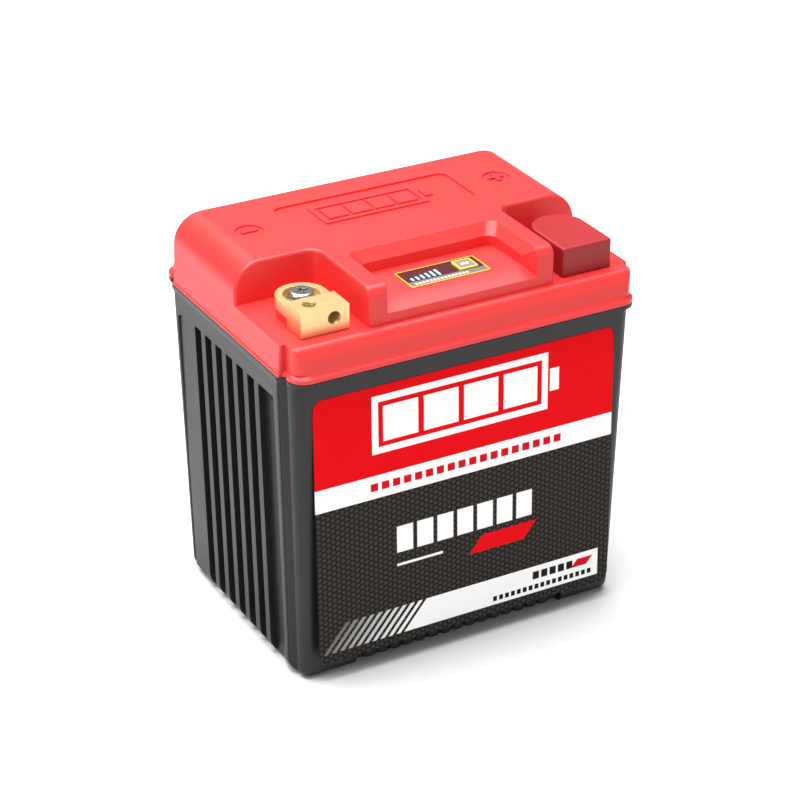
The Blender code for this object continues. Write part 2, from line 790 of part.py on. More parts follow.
def make_indicator_board():
    low = BOARD_TOP_Z - 1.6
    box("indicator_board", (-26, -48.5, low), (26, -27, BOARD_TOP_Z), "circuit_board")
    x, y = BUTTON_AT
    switch = box(
        "switch_body", (x - 3, y - 3, BOARD_TOP_Z + GAP), (x + 3, y + 3, BOARD_TOP_Z + 2.4), "epoxy"
    )
    nub = [(1.7, BOARD_TOP_Z + 2.0), (1.7, BOARD_TOP_Z + 3.0)]
    join(switch, turned("add_switch_nub", nub, x, y, None, 12))
    for k in range(6):
        left = -15.4 + 3.3 * k
        span = ((left, -41.4, BOARD_TOP_Z + GAP), (left + 1.6, -38.4, BOARD_TOP_Z + 1.2))
        box(f"indicator_lamp_{k + 1}", *span, "led_resin")


# Cell pack and wiring


def cell_places():
    for column in range(CELL_COLUMNS):
        for row in range(CELL_ROWS):
            x = CELL_PITCH * (column - (CELL_COLUMNS - 1) / 2)
            y = CELL_PITCH * (row - (CELL_ROWS - 1) / 2)
            yield column, row, x, y


def make_cells():
    """Neighbouring columns stand the other way up, so that each plate joins + to -."""
    for column, row, x, y in cell_places():
        nub = [(CELL_R, 0), (CELL_R, CELL_H - 3.4), (CELL_R - 0.8, CELL_H - 2.4)]
        nub += [(CELL_R - 0.6, CELL_H - 1.4), (6.0, CELL_H - 1.3), (6.0, CELL_H)]
        if column % 2:
            profile = [(r, CELL_Z + CELL_H - z) for r, z in reversed(nub)]
        else:
            profile = [(r, CELL_Z + z) for r, z in nub]
        turned(f"cell_{column + 1}_{row + 1}", profile, x, y, "cell_wrap", CELL_SIDES)


def make_holder(name, low, high):
    half_x = CELL_PITCH * (CELL_COLUMNS - 1) / 2 + CELL_R + 2.6
    half_y = CELL_PITCH * (CELL_ROWS - 1) / 2 + CELL_R + 2.2
    holder = prism(name, rounded(-half_x, -half_y, half_x, half_y, 5), low, high, "holder_plastic")
    mesh_data = bmesh.new()
    for _, _, x, y in cell_places():
        ring = circle(x, y, CELL_R + 0.5, CELL_SIDES)
        add_loft(mesh_data, [level(ring, low - 1), level(ring, high + 1)])
    cut(holder, add_object("cut_" + name, mesh_data, None))


def make_bus_plates():
    """Nickel plates: two under the cells and three above them put four groups in series."""
    reach = CELL_R - 5
    half_y = CELL_PITCH + 9
    low_z = CELL_Z - GAP - PLATE_T
    high_z = CELL_Z + CELL_H + GAP
    groups = (("lower", (0, 1), low_z), ("lower", (2, 3), low_z), ("upper", (0, 0), high_z))
    groups += (("upper", (1, 2), high_z), ("upper", (3, 3), high_z))
    for number, (where, (first, last), z) in enumerate(groups, 1):
        x0 = CELL_PITCH * (first - 1.5) - reach
        x1 = CELL_PITCH * (last - 1.5) + reach
        box(f"{where}_bus_plate_{number}", (x0, -half_y, z), (x1, half_y, z + PLATE_T), "nickel")


def make_foam():
    box("lower_foam_pad", (-70, -46.5, FLOOR_Z + GAP), (70, 46.5, CAVITY_STEP_Z), "foam")
    outline = rounded(-72, -12, 72, 51.5, 4)
    prism("upper_foam_block", outline, 106.0, 142.0, "foam")


def make_management_board():
    low = 93.0
    box("management_board", (-48, -30, low), (48, 30, low + 1.6), "circuit_board")
    box("heat_spreader", (-40, 12, low + 1.9), (40, 27, low + 8.0), "steel")
    box("balance_connector", (-34, -27, low + 1.9), (-12, -21, low + 8.0), "epoxy")
    box("insulation_sheet", (-68, -50, 86.0), (68, 50, 86.5), "foam")


def make_wiring():
    lug_z = LUG_TOP_Z - LUG_T - 2.4
    inner = TERMINAL_X - 11.0
    rise_z = CELL_Z + CELL_H + 6.0
    tube(
        "positive_lead",
        [(60.5, -38, rise_z + 2), (60, -37, 102), (57, -33, 124), (inner + 2, -30.2, 140),
         (inner, -30.2, lug_z)],
        2.2, "red_silicone",
    )
    tube(
        "negative_lead",
        [(-44, -27, 97), (-46, -32, 106), (-52, -35, 122), (-inner - 2, -30.6, 138),
         (-inner, -30.2, lug_z)],
        2.2, "black_silicone",
    )
    tube(
        "negative_link",
        [(-62, -24, 88.8), (-62, -24, 96), (-58, -21, 101), (-52, -18, 101), (-46, -18, 97.0)],
        2.0, "black_silicone",
    )
    tube(
        "balance_harness",
        [(-23, -24, 102.2), (-23, -28, 108), (-12, -34, 112), (8, -36, 108), (24, -38, 98),
         (30, -40, 89.0)],
        1.6, "black_silicone",
    )
    tube(
        "indicator_harness",
        [(-20, -24, 102.0 + 2.2), (-18, -20, 116), (-14, -22, 136), (-12, -28, 148),
         (-12, -32, 155.2)],
        1.2, "black_silicone",
    )


def main():
    clear_scene()
    make_case()
    make_lid()
    make_label()
    for name, side in (("negative", -1), ("positive", 1)):
        make_terminal(name + "_terminal", side)
        make_terminal_screw(name + "_terminal_screw", side)
        make_lug(name + "_lead_lug", side)
        make_nut(name + "_lug_nut", side)
    make_cover()
    make_panel()
    make_button()
    make_indicator_board()
    make_cells()
    make_holder("lower_cell_holder", CELL_Z, CELL_Z + 7.5)
    make_holder("upper_cell_holder", CELL_Z + CELL_H - 12.5, CELL_Z + CELL_H - 5.0)
    make_bus_plates()
    make_foam()
    make_management_board()
    make_wiring()


main()
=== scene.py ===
"""Builds the look of a 12 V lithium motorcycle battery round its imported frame."""

import json
import math

import bmesh
import bpy
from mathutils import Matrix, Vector


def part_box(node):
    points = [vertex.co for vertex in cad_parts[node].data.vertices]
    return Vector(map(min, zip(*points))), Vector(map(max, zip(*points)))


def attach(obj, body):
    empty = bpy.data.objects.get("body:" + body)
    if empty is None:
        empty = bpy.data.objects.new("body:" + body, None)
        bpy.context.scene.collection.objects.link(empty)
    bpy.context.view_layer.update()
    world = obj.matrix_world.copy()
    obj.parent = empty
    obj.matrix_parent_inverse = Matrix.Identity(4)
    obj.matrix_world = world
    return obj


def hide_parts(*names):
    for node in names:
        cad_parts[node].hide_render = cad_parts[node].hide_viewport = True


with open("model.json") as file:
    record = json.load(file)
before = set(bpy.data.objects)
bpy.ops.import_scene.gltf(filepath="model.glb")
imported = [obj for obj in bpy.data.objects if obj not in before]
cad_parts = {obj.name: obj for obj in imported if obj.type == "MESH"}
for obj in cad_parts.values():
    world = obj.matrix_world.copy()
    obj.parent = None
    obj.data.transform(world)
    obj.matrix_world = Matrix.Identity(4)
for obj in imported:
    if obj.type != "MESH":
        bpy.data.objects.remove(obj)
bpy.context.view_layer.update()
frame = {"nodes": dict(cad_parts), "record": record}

bl_info = {
    "name": "Motorcycle Battery",
    "version": (1, 0, 0),
    "blender": (4, 5, 0),
    "location": "3D View > Sidebar > Battery",
    "description": "Models a lithium motorcycle battery piece by piece",
    "category": "Add Mesh",
}

MM = 0.001
GAP = 0.3
NEAR = 0.02
BODY = "battery"

# Where the frame's pieces are, in millimetres


def edges_of(node):
    """The low and high corners of a frame piece's box."""
    return [[v / MM for v in corner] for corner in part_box(node)]


CASE_HIGH = edges_of("case")[1]
LID_LOW, LID_HIGH = edges_of("lid")
TERMINAL_LOW, TERMINAL_HIGH = edges_of("negative_terminal")
SCREW_LOW, SCREW_HIGH = edges_of("negative_terminal_screw")
COVER_LOW, COVER_HIGH = edges_of("positive_terminal_cover")
LABEL_LOW, LABEL_HIGH = edges_of("front_label")
PANEL_LOW, PANEL_HIGH = edges_of("indicator_panel")
BUTTON_LOW, BUTTON_HIGH = edges_of("test_button")
BUTTON_MID = ((BUTTON_LOW[0] + BUTTON_HIGH[0]) / 2, (BUTTON_LOW[1] + BUTTON_HIGH[1]) / 2)
BUTTON_FLANGE = 1.0

HALF_X = CASE_HIGH[0]
HALF_Y = CASE_HIGH[1]
CORNER_STEP = 2.1
FLANGE_R = 7.5
WALL_R = 5.2

# Case wall: it starts under the flange's chamfer and leans in towards the floor
FLANGE_TOP_Z = CASE_HIGH[2]
FLANGE_LOW_Z = 142.0
WALL_TOP_Z = 139.6
WALL_INSET = (1.1, 4.0)
DRAFT = 0.0205
FLOOR_R = 6.0
SIDE_FLOOR_R = 8.0
FOOT_H = 1.6
FOOT_X = 51.3
FOOT_FRONT_Y = -38.0
FOOT_REAR_Y = 34.0
SIDE_Y = 51.3
NOTCH_AT = (79.3, 53.2)
NOTCH_HALF = 3.3
POST_INSET_Y = (1.6, 2.9)
POST_R = 2.6
GROOVE_MID_Y = -3.2
GROOVE_PITCH = 10.1
GROOVE_TOP_Z = 131.9
RUN_OUT_R = 2.9
RUN_OUT_STRETCH = 2.1
FRONT_GROOVE_SLOPE = 22.0
REAR_PANEL_Y = (34.2, 48.2)
REAR_PANEL_DEPTH = 1.3
HOLD_TOP_Z = 9.0
LABEL_R = 4.5
TOOTH_PITCH = 6.21
TOOTH_ROOT_Y = 52.6
TOOTH_TIP_Y = 54.6
CAVITY = (74.5, 53.4)
CAVITY_FLOOR_Z = 12.0
WELL_FLOOR_Z = 4.0

# Lid
SEAM_Z = LID_LOW[2]
POCKET_Z = 157.85
POCKET_BACK_Y = -8.5
TOP_Z = LID_HIGH[2]
SHOULDER_X = 81.0
SIDE_TOP_X = 81.7
FOOT_LEAN_Y = 1.9
REAR_Y = 49.9
LEDGE_Z = 150.5
BLOCK_X = 43.5
BLOCK_FRONT_Y = -54.7
BULGE_FRONT_Y = -61.0
BULGE_LOW_Z = 148.5
BULGE_IN = 5.3
RECESS_X = 31.7
RECESS_BACK_Y = -23.6
RECESS_SPREAD = 3.6
RECESS_CORNER_R = 4.2
MOUTH_BACK_Y = -47.8
BLOCK_FRONT_R = 4.5
RECESS_Z = 166.0
RECESS_CHAMFER = 4.5
PLATE = (-42.0, 5.0, 42.0, 35.5)
PLATE_DEPTH = 0.9
MARK_AT = (59.7, 20.0)

# Terminals
TERMINAL_X = (TERMINAL_HIGH[0] + TERMINAL_LOW[0]) / -2
TERMINAL_HALF = (TERMINAL_HIGH[0] - TERMINAL_LOW[0]) / 2
TERMINAL_STEP_Y = -38.0
SIDE_NAMES = {-1: "negative", 1: "positive"}
TAB_Y = TERMINAL_HIGH[1] - TERMINAL_HALF
TAB_Z = (162.0, 167.1)
SINK_R = 7.65
SINK_Z = 164.5
TAPPED_R = 2.6
SCREW_HOLE_R = 2.85
TOP_HOLE = (64.9, -44.2)
FRONT_HOLE = (57.2, 164.3)
MOUTH_BREAK = 0.25


# Modelling by hand: every helper takes millimetres and drives Blender's own tools


def deselect():
    """Leaves edit mode and clears the selection."""
    if bpy.context.object and bpy.context.object.mode != "OBJECT":
        bpy.ops.object.mode_set(mode="OBJECT")
    bpy.ops.object.select_all(action="DESELECT")


def pick(obj):
    """Selects one object alone and makes it the active one."""
    deselect()
    obj.select_set(True)
    bpy.context.view_layer.objects.active = obj


def pick_all(obj):
    """Enters edit mode with the whole mesh chosen."""
    pick(obj)
    bpy.ops.object.mode_set(mode="EDIT")
    bpy.ops.mesh.select_all(action="SELECT")


def settle(obj):
    """Applies an object's place, turn and scale to its mesh."""
    pick(obj)
    bpy.ops.object.transform_apply(location=True, rotation=True, scale=True)
    return obj


def block(low, high):
    """A cube primitive between two corners."""
    deselect()
    middle = [(a + b) / 2 * MM for a, b in zip(low, high)]
    bpy.ops.mesh.primitive_cube_add(size=1, location=middle)
    obj = bpy.context.object
    obj.scale = [(b - a) * MM for a, b in zip(low, high)]
    return settle(obj)


def rod(middle, radius, length, sides=48):
    """An upright cylinder primitive whose middle is at a point."""
    deselect()
    place = [v * MM for v in middle]
    bpy.ops.mesh.primitive_cylinder_add(
        vertices=sides, radius=radius * MM, depth=length * MM, location=place
    )
    return settle(bpy.context.object)


KINDS = {"VERT": "verts", "EDGE": "edges", "FACE": "faces"}


def corners_of(item):
    points = [item] if isinstance(item, bmesh.types.BMVert) else item.verts
    return [v.co / MM for v in points]


def choose(obj, test, kind="EDGE"):
    """Enters edit mode with the points, edges or faces whose corners, in mm, pass a test."""
    pick(obj)
    bpy.ops.object.mode_set(mode="EDIT")
    bpy.ops.mesh.select_mode(type=kind)
    bpy.ops.mesh.select_all(action="DESELECT")
    data = bmesh.from_edit_mesh(obj.data)
    found = [item for item in getattr(data, KINDS[kind]) if test(corners_of(item))]
    for item in found:
        item.select_set(True)
    if not found:
        raise RuntimeError(f"{obj.name}: nothing passes the test for a {kind.lower()}")
    bmesh.update_edit_mesh(obj.data)


def object_mode():
    bpy.ops.object.mode_set(mode="OBJECT")


def upright(corners):
    a, b = corners
    return abs(a.x - b.x) < 0.01 and abs(a.y - b.y) < 0.01


def at(corners, axis, value):
    return all(abs(c[axis] - value) < NEAR for c in corners)


def level(z):
    """A test that holds for all that lies at a height."""
    return lambda corners: at(corners, 2, z)


def round_edges(obj, test, radius, steps):
    choose(obj, test)
    bpy.ops.mesh.bevel(offset=radius * MM, segments=steps, affect="EDGES", clamp_overlap=True)
    object_mode()


def round_sharp(obj, radius, steps, test):
    """Rounds each outward edge creased over 30 degrees whose corners pass a test."""
    choose(obj, test)
    data = bmesh.from_edit_mesh(obj.data)
    for edge in data.edges:
        turn = edge.calc_face_angle(0)
        if edge.select and not (edge.is_manifold and edge.is_convex and turn > math.radians(30)):
            edge.select_set(False)
    bmesh.update_edit_mesh(obj.data)
    bpy.ops.mesh.bevel(offset=radius * MM, segments=steps, affect="EDGES", clamp_overlap=True)
    object_mode()


def draw_out(obj, test, move, scale=(1, 1, 1), centre=(0, 0, 0)):
    """Extrudes the faces that pass a test, moves them, and resizes them about a centre."""
    choose(obj, test, "FACE")
    bpy.ops.mesh.extrude_region_move(TRANSFORM_OT_translate={"value": [v * MM for v in move]})
    bpy.ops.transform.resize(value=scale, center_override=[v * MM for v in centre])
    object_mode()


def shift(obj, test, move, kind="FACE"):
    """Moves the faces or points that pass a test."""
    choose(obj, test, kind)
    bpy.ops.transform.translate(value=[v * MM for v in move])
    object_mode()


def stretch(obj, test, scale, centre, kind="VERT"):
    """Resizes the points or faces that pass a test about a centre."""
    choose(obj, test, kind)
    bpy.ops.transform.resize(value=scale, center_override=[v * MM for v in centre])
    object_mode()


def combine(obj, others, operation):
    """Applies one Boolean for each other mesh, which is then removed."""
    for other in others:
        pick(obj)
        step = obj.modifiers.new("combine", "BOOLEAN")
        step.operation = operation
        step.solver = "EXACT"
        step.object = other
        bpy.ops.object.modifier_apply(modifier=step.name)
        bpy.data.objects.remove(other, do_unlink=True)
    return obj


def cut(obj, *others):
    return combine(obj, others, "DIFFERENCE")


def add(obj, *others):
    return combine(obj, others, "UNION")


def keep(obj, *others):
    return combine(obj, others, "INTERSECT")


def merge(parts):
    """Joins separate meshes into one object without a Boolean."""
    deselect()
    for part in parts:
        part.select_set(True)
    bpy.context.view_layer.objects.active = parts[0]
    bpy.ops.object.join()
    return parts[0]


def mirrored(obj, axis=0):
    """A copy on the other side of the middle plane, its faces turned out again."""
    pick(obj)
    bpy.ops.object.duplicate(linked=False)
    twin = bpy.context.object
    twin.scale[axis] = -1
    pick_all(settle(twin))
    bpy.ops.mesh.normals_make_consistent(inside=False)
    object_mode()
    return twin


def tidy_faces(obj):
    """Merges doubled points and the flat faces that a Boolean leaves split."""
    pick_all(obj)
    bpy.ops.mesh.remove_doubles(threshold=0.00001)
    bpy.ops.mesh.dissolve_limited(angle_limit=math.radians(0.5))
    object_mode()


def soften(obj, width, steps, angle=35):
    """A Bevel modifier on the sharp edges, applied."""
    pick(obj)
    step = obj.modifiers.new("soften", "BEVEL")
    step.width = width * MM
    step.segments = steps
    step.limit_method = "ANGLE"
    step.angle_limit = math.radians(angle)
    step.harden_normals = False
    bpy.ops.object.modifier_apply(modifier=step.name)


def finish_piece(obj, name, nodes, skin, body=BODY, smooth=35):
    """Names the piece, shades it, gives it its material and ties it to the frame."""
    obj.name = name
    obj.data.name = name
    pick(obj)
    bpy.ops.object.shade_smooth_by_angle(angle=math.radians(smooth))
    even = obj.modifiers.new("even", "WEIGHTED_NORMAL")
    even.keep_sharp = True
    bpy.ops.object.modifier_apply(modifier=even.name)
    obj.data.materials.clear()
    obj.data.materials.append(skin)
    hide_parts(*nodes)
    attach(obj, body)
    return obj


# Materials


def colour(code):
    """An sRGB hex value as linear red, green, blue and alpha."""
    parts = [int(code[i : i + 2], 16) / 255 for i in (1, 3, 5)]
    linear = [c / 12.92 if c <= 0.04045 else ((c + 0.055) / 1.055) ** 2.4 for c in parts]
    return (*linear, 1.0)


def new_material(name, base, roughness, metallic=0.0, **sockets):
    """A material and its shader, with the constant settings on the shader's own sockets."""
    made = bpy.data.materials.new(name)
    made.use_nodes = True
    shader = made.node_tree.nodes["Principled BSDF"]
    shader.inputs["Base Color"].default_value = base
    shader.inputs["Roughness"].default_value = roughness
    shader.inputs["Metallic"].default_value = metallic
    for key, value in sockets.items():
        shader.inputs[key.replace("_", " ")].default_value = value
    return made, shader


def node(tree, kind, *values, out=0, slots=None, **named):
    """Adds a node and gives one output; its inputs go in order, by index or by name."""
    made = tree.nodes.new("ShaderNode" + kind)
    inputs = dict(enumerate(values)) | (slots or {})
    for key, value in named.items():
        if hasattr(made, key):
            setattr(made, key, value)
        else:
            inputs[key.replace("_", " ")] = value
    for key, value in inputs.items():
        if isinstance(value, bpy.types.NodeSocket):
            tree.links.new(value, made.inputs[key])
        else:
            made.inputs[key].default_value = value
    return made.outputs[out]


def ink(tree, field, *layers):
    """Lays colours over a field, each where its mask is one."""
    for mask, tint in layers:
        field = node(tree, "Mix", mask, slots={6: field, 7: tint}, out=2, data_type="RGBA")
    return field


MOTTLE = 38.0


def grain(tree, shader, size, height, rough, spread, radius=0):
    """Fine moulded texture of a size in mm; a radius catches light on edges too fine for faces."""
    spot = node(tree, "TexCoord", out="Object")
    fine = node(tree, "TexNoise", Vector=spot, Scale=1 / (size * MM), Detail=3.0)
    broad = node(tree, "TexNoise", Vector=spot, Scale=1 / (MOTTLE * MM), Detail=2.0)
    lift = {"Height": fine, "Strength": 1.0, "Distance": height * MM}
    if radius:
        lift["Normal"] = node(tree, "Bevel", samples=4, Radius=radius * MM)
    tree.links.new(node(tree, "Bump", **lift), shader.inputs["Normal"])
    level = node(tree, "Math", broad, spread, rough - spread / 2, operation="MULTIPLY_ADD")
    tree.links.new(level, shader.inputs["Roughness"])
    return broad


def coat(made, shader, field, *texture):
    """Gives a skin its colour field and its grain."""
    made.node_tree.links.new(field, shader.inputs["Base Color"])
    grain(made.node_tree, shader, *texture)
    return made


def mottle(made, shader, base, second, *texture):
    """Grain over a skin whose colour drifts a little between two tones."""
    tree = made.node_tree
    broad = grain(tree, shader, *texture)
    tree.links.new(ink(tree, base, (broad, colour(second))), shader.inputs["Base Color"])
    return made


def black_abs(settings):
    """Black injection-moulded ABS, spark-eroded mould finish: a satin, faintly grained sheen."""
    base = (*settings.case_colour, 1.0)
    made, shader = new_material("black_moulded_abs", base, 0.45, Specular_IOR_Level=0.35)
    return mottle(made, shader, base, "#1d1d1e", 0.55, 0.010, 0.44, 0.08, 0.25)


def red_abs(settings):
    """Red injection-moulded ABS with a soft satin mould finish."""
    base = (*settings.lid_colour, 1.0)
    made, shader = new_material("red_moulded_abs", base, 0.42, Specular_IOR_Level=0.4)
    return mottle(made, shader, base, "#dc3232", 0.5, 0.012, 0.38, 0.08, 0.3)


def soft_vinyl(settings):
    """Dip-moulded soft vinyl: smooth, slightly translucent and a little waxy."""
    base = (*settings.cover_colour, 1.0)
    made, shader = new_material(
        "red_soft_vinyl", base, 0.42, IOR=1.45, Subsurface_Weight=0.05, Subsurface_Scale=0.002
    )
    return mottle(made, shader, base, "#97191d", 1.1, 0.010, 0.46, 0.10, 0.3)


def brass():
    """Machined brass with faint tool lines and the warm spots that handling leaves."""
    base = colour("#e2cf9a")
    made, shader = new_material("machined_brass", base, 0.28, 1.0)
    tree = made.node_tree
    spot = node(tree, "TexCoord", out="Object")
    lines = node(tree, "Mapping", spot, Scale=(1.0, 9.0, 9.0))
    tool = node(tree, "TexNoise", Vector=lines, Scale=260.0, Detail=4.0)
    stain = node(tree, "TexNoise", Vector=spot, Scale=140.0, Detail=4.0)
    edge = node(tree, "Bevel", samples=4, Radius=0.2 * MM)
    bump = node(tree, "Bump", Height=tool, Normal=edge, Strength=1.0, Distance=0.0012 * MM)
    tree.links.new(bump, shader.inputs["Normal"])
    tree.links.new(ink(tree, base, (stain, colour("#d6bd85"))), shader.inputs["Base Color"])
    level = node(tree, "Math", tool, 0.10, 0.36, operation="MULTIPLY_ADD")
    tree.links.new(level, shader.inputs["Roughness"])
    return made


def plated_steel():
    """Zinc-plated steel: bright and cool, with a fine mottled plating grain."""
    base = colour("#e0dfdc")
    made, shader = new_material("zinc_plated_steel", base, 0.25, 1.0)
    return mottle(made, shader, base, "#bdbbb4", 0.4, 0.003, 0.22, 0.12, 0.15)


# Print: each mask is one inside its shape and zero outside it, with a thin soft edge


def along(tree, axis):
    """The place along one axis of the object, in mm."""
    spot = node(tree, "TexCoord", out="Object")
    return node(tree, "Math", node(tree, "SeparateXYZ", spot, out=axis), MM, operation="DIVIDE")


def inside(tree, value, low, high, soft=0.05):
    up = node(tree, "MapRange", value, low - soft, low + soft, 0.0, 1.0)
    down = node(tree, "MapRange", value, high - soft, high + soft, 1.0, 0.0)
    return node(tree, "Math", up, down, operation="MULTIPLY")


def chain(tree, operation, *masks):
    """MULTIPLY keeps what all the masks share; MAXIMUM keeps what any of them covers."""
    result = masks[0]
    for mask in masks[1:]:
        result = node(tree, "Math", result, mask, operation=operation)
    return result


def patch(tree, x, z, low_x, low_z, high_x, high_z):
    return chain(tree, "MULTIPLY", inside(tree, x, low_x, high_x), inside(tree, z, low_z, high_z))


def frame_line(tree, x, z, low_x, low_z, high_x, high_z, line):
    outer = patch(tree, x, z, low_x, low_z, high_x, high_z)
    inner = patch(tree, x, z, low_x + line, low_z + line, high_x - line, high_z - line)
    return chain(tree, "SUBTRACT", outer, inner)


def row(tree, x, z, start, pitch, count, share, low_z, high_z):
    """A row of equal blocks, each filling a share of the pitch."""
    turn = node(tree, "Math", x, 1 / pitch, -start / pitch, operation="MULTIPLY_ADD")
    saw = node(tree, "Math", turn, operation="FRACT")
    blocks = inside(tree, saw, 0.0, share, 0.05 / pitch)
    area = patch(tree, x, z, start, low_z, start + pitch * (count - 1 + share), high_z)
    return chain(tree, "MULTIPLY", blocks, area)


def hexagons(tree, x, z, cell):
    """Fine hexagon mesh: three waves of ridges, 60 degrees apart."""
    waves = []
    for turn in (0, 60, 120):
        ahead = 2 * math.pi * math.cos(math.radians(turn)) / cell
        across = 2 * math.pi * math.sin(math.radians(turn)) / cell
        part = node(tree, "Math", x, ahead, operation="MULTIPLY")
        wave = node(tree, "Math", z, across, part, operation="MULTIPLY_ADD")
        waves.append(node(tree, "Math", wave, operation="COSINE"))
    return node(tree, "MapRange", chain(tree, "ADD", *waves), -1.3, 0.2, 0.0, 1.0)


BAND_Z = (13.9, 27.1)
BAND_END_X = 66.4
WHITE_Z = (82.1, 92.75)
SLASH_PITCH = 3.88
SLASH_START = -69.7
SOLID_START = -31.0


def label_film(settings):
    """Glossy printed polyester: a red field, a white stripe, a dark field of fine hexagons."""
    red = (*settings.label_colour, 1.0)
    made, shader = new_material("printed_label_film", red, 0.5, Specular_IOR_Level=0.05)
    tree = made.node_tree
    x, z = along(tree, "X"), along(tree, "Z")
    white, black, crimson = colour("#f6f5f4"), colour("#1c1a1a"), colour("#cf0a1c")
    mesh = hexagons(tree, x, z, settings.hexagon)
    dark = ink(tree, colour("#15120f"), (mesh, colour("#3b3733")))

    # Slashes that fade out to the left end of the lower white band
    lean = -settings.slash_lean / (BAND_Z[1] - BAND_Z[0])
    slope = node(
        tree, "Math", node(tree, "Math", z, BAND_Z[0], operation="SUBTRACT"), lean, x,
        operation="MULTIPLY_ADD",
    )
    count = math.ceil((SOLID_START - SLASH_START) / SLASH_PITCH)
    slashes = row(tree, slope, z, SLASH_START, SLASH_PITCH, count, 0.52, *BAND_Z)
    fade = node(tree, "MapRange", slope, SLASH_START, SOLID_START, 0.12, 1.0)
    solid = patch(tree, slope, z, SOLID_START, BAND_Z[0], 200.0, BAND_Z[1])
    band = chain(tree, "MAXIMUM", chain(tree, "MULTIPLY", slashes, fade), solid)
    band = chain(tree, "MULTIPLY", band, inside(tree, x, -200.0, BAND_END_X))

    cells = row(tree, x, z, -34.0, 9.7, 7, 0.8, 53.5, 66.0)
    tag = patch(tree, slope, z, -23.0, 42.5, 4.0, 50.5)
    rule = patch(tree, x, z, -34.0, 47.0, -12.0, 48.2)
    dashes = row(tree, x, z, -46.0, 5.2, 18, 0.68, 85.6, 89.2)
    bars = row(tree, x, z, 33.0, 4.3, 5, 0.74, 20.6, 24.4)
    ticks = row(tree, x, z, 13.0, 3.0, 17, 0.66, 15.6, 18.0)
    small_tag = patch(tree, slope, z, 47.0, 20.6, 55.0, 24.4)
    field = ink(
        tree, dark, (band, white), (chain(tree, "MAXIMUM", cells, rule), white), (tag, red),
        (chain(tree, "MAXIMUM", bars, ticks), black), (small_tag, crimson),
        (inside(tree, z, *WHITE_Z), white), (dashes, crimson),
        (inside(tree, z, WHITE_Z[1], 200.0), red), (battery_symbol(tree, x, z), white),
    )
    return coat(made, shader, field, 0.9, 0.003, 0.5, 0.05)


def battery_symbol(tree, x, z):
    """A plain battery pictogram in the red field: an outline, a nub and four charge bars."""
    left, right, low, high, line = -45.0, 39.0, 102.5, 129.0, 3.0
    outline = frame_line(tree, x, z, left, low, right, high, line)
    nub = patch(tree, x, z, right + 1.0, low + 8.0, right + 5.5, high - 8.0)
    first, gap = left + line + 2.2, 2.6
    pitch = (right - line - 2.2 - first + gap) / 4
    bars = row(
        tree, x, z, first, pitch, 4, 1 - gap / pitch, low + line + 2.2, high - line - 2.2
    )
    return chain(tree, "MAXIMUM", outline, nub, bars)


def panel_film():
    """Printed membrane: gold border, dark upper band, grey lower field, pale blue bars."""
    made, shader = new_material("printed_membrane", colour("#5b2a2f"), 0.22, IOR=1.5)
    tree = made.node_tree
    x, y = along(tree, "X"), along(tree, "Y")
    x0, y0, x1, y1 = PANEL_LOW[0], PANEL_LOW[1], PANEL_HIGH[0], PANEL_HIGH[1]
    bars = []
    for k in range(6):
        left = x0 + 3.4 + 2.5 * k
        bars.append(patch(tree, x, y, left, y0 + 5.6, left + 1.1, y0 + 8.0 + 0.6 * k))
    field = ink(
        tree, colour("#3a1418"), (inside(tree, y, y0, y0 + 4.6), colour("#6b6664")),
        (row(tree, x, y, x0 + 3.0, 1.7, 15, 0.62, y0 + 1.7, y0 + 3.1), colour("#d8dcda")),
        (chain(tree, "MAXIMUM", *bars), colour("#8fdcec")),
        (frame_line(tree, x, y, x0, y0, x1, y1, 0.7), colour("#d9a126")),
    )
    return coat(made, shader, field, 0.8, 0.003, 0.26, 0.05)


def button_film():
    """The button's own printed cap: a yellow line round a grey field with a pale bar."""
    made, shader = new_material("button_cap_plastic", colour("#d9cdb8"), 0.3, IOR=1.5)
    tree = made.node_tree
    x, y = along(tree, "X"), along(tree, "Y")
    x0, y0 = BUTTON_LOW[0] + BUTTON_FLANGE, BUTTON_LOW[1] + BUTTON_FLANGE
    x1, y1 = BUTTON_HIGH[0] - BUTTON_FLANGE, BUTTON_HIGH[1] - BUTTON_FLANGE
    mid_x, mid_y = BUTTON_MID
    field = ink(
        tree, colour("#7b746c"),
        (frame_line(tree, x, y, x0, y0, x1, y1, 0.75), colour("#e6cf3c")),
        (patch(tree, x, y, mid_x - 1.9, mid_y - 0.7, mid_x + 1.9, mid_y + 0.7), colour("#efe9da")),
    )
    return coat(made, shader, field, 0.6, 0.004, 0.3, 0.06, 0.2)


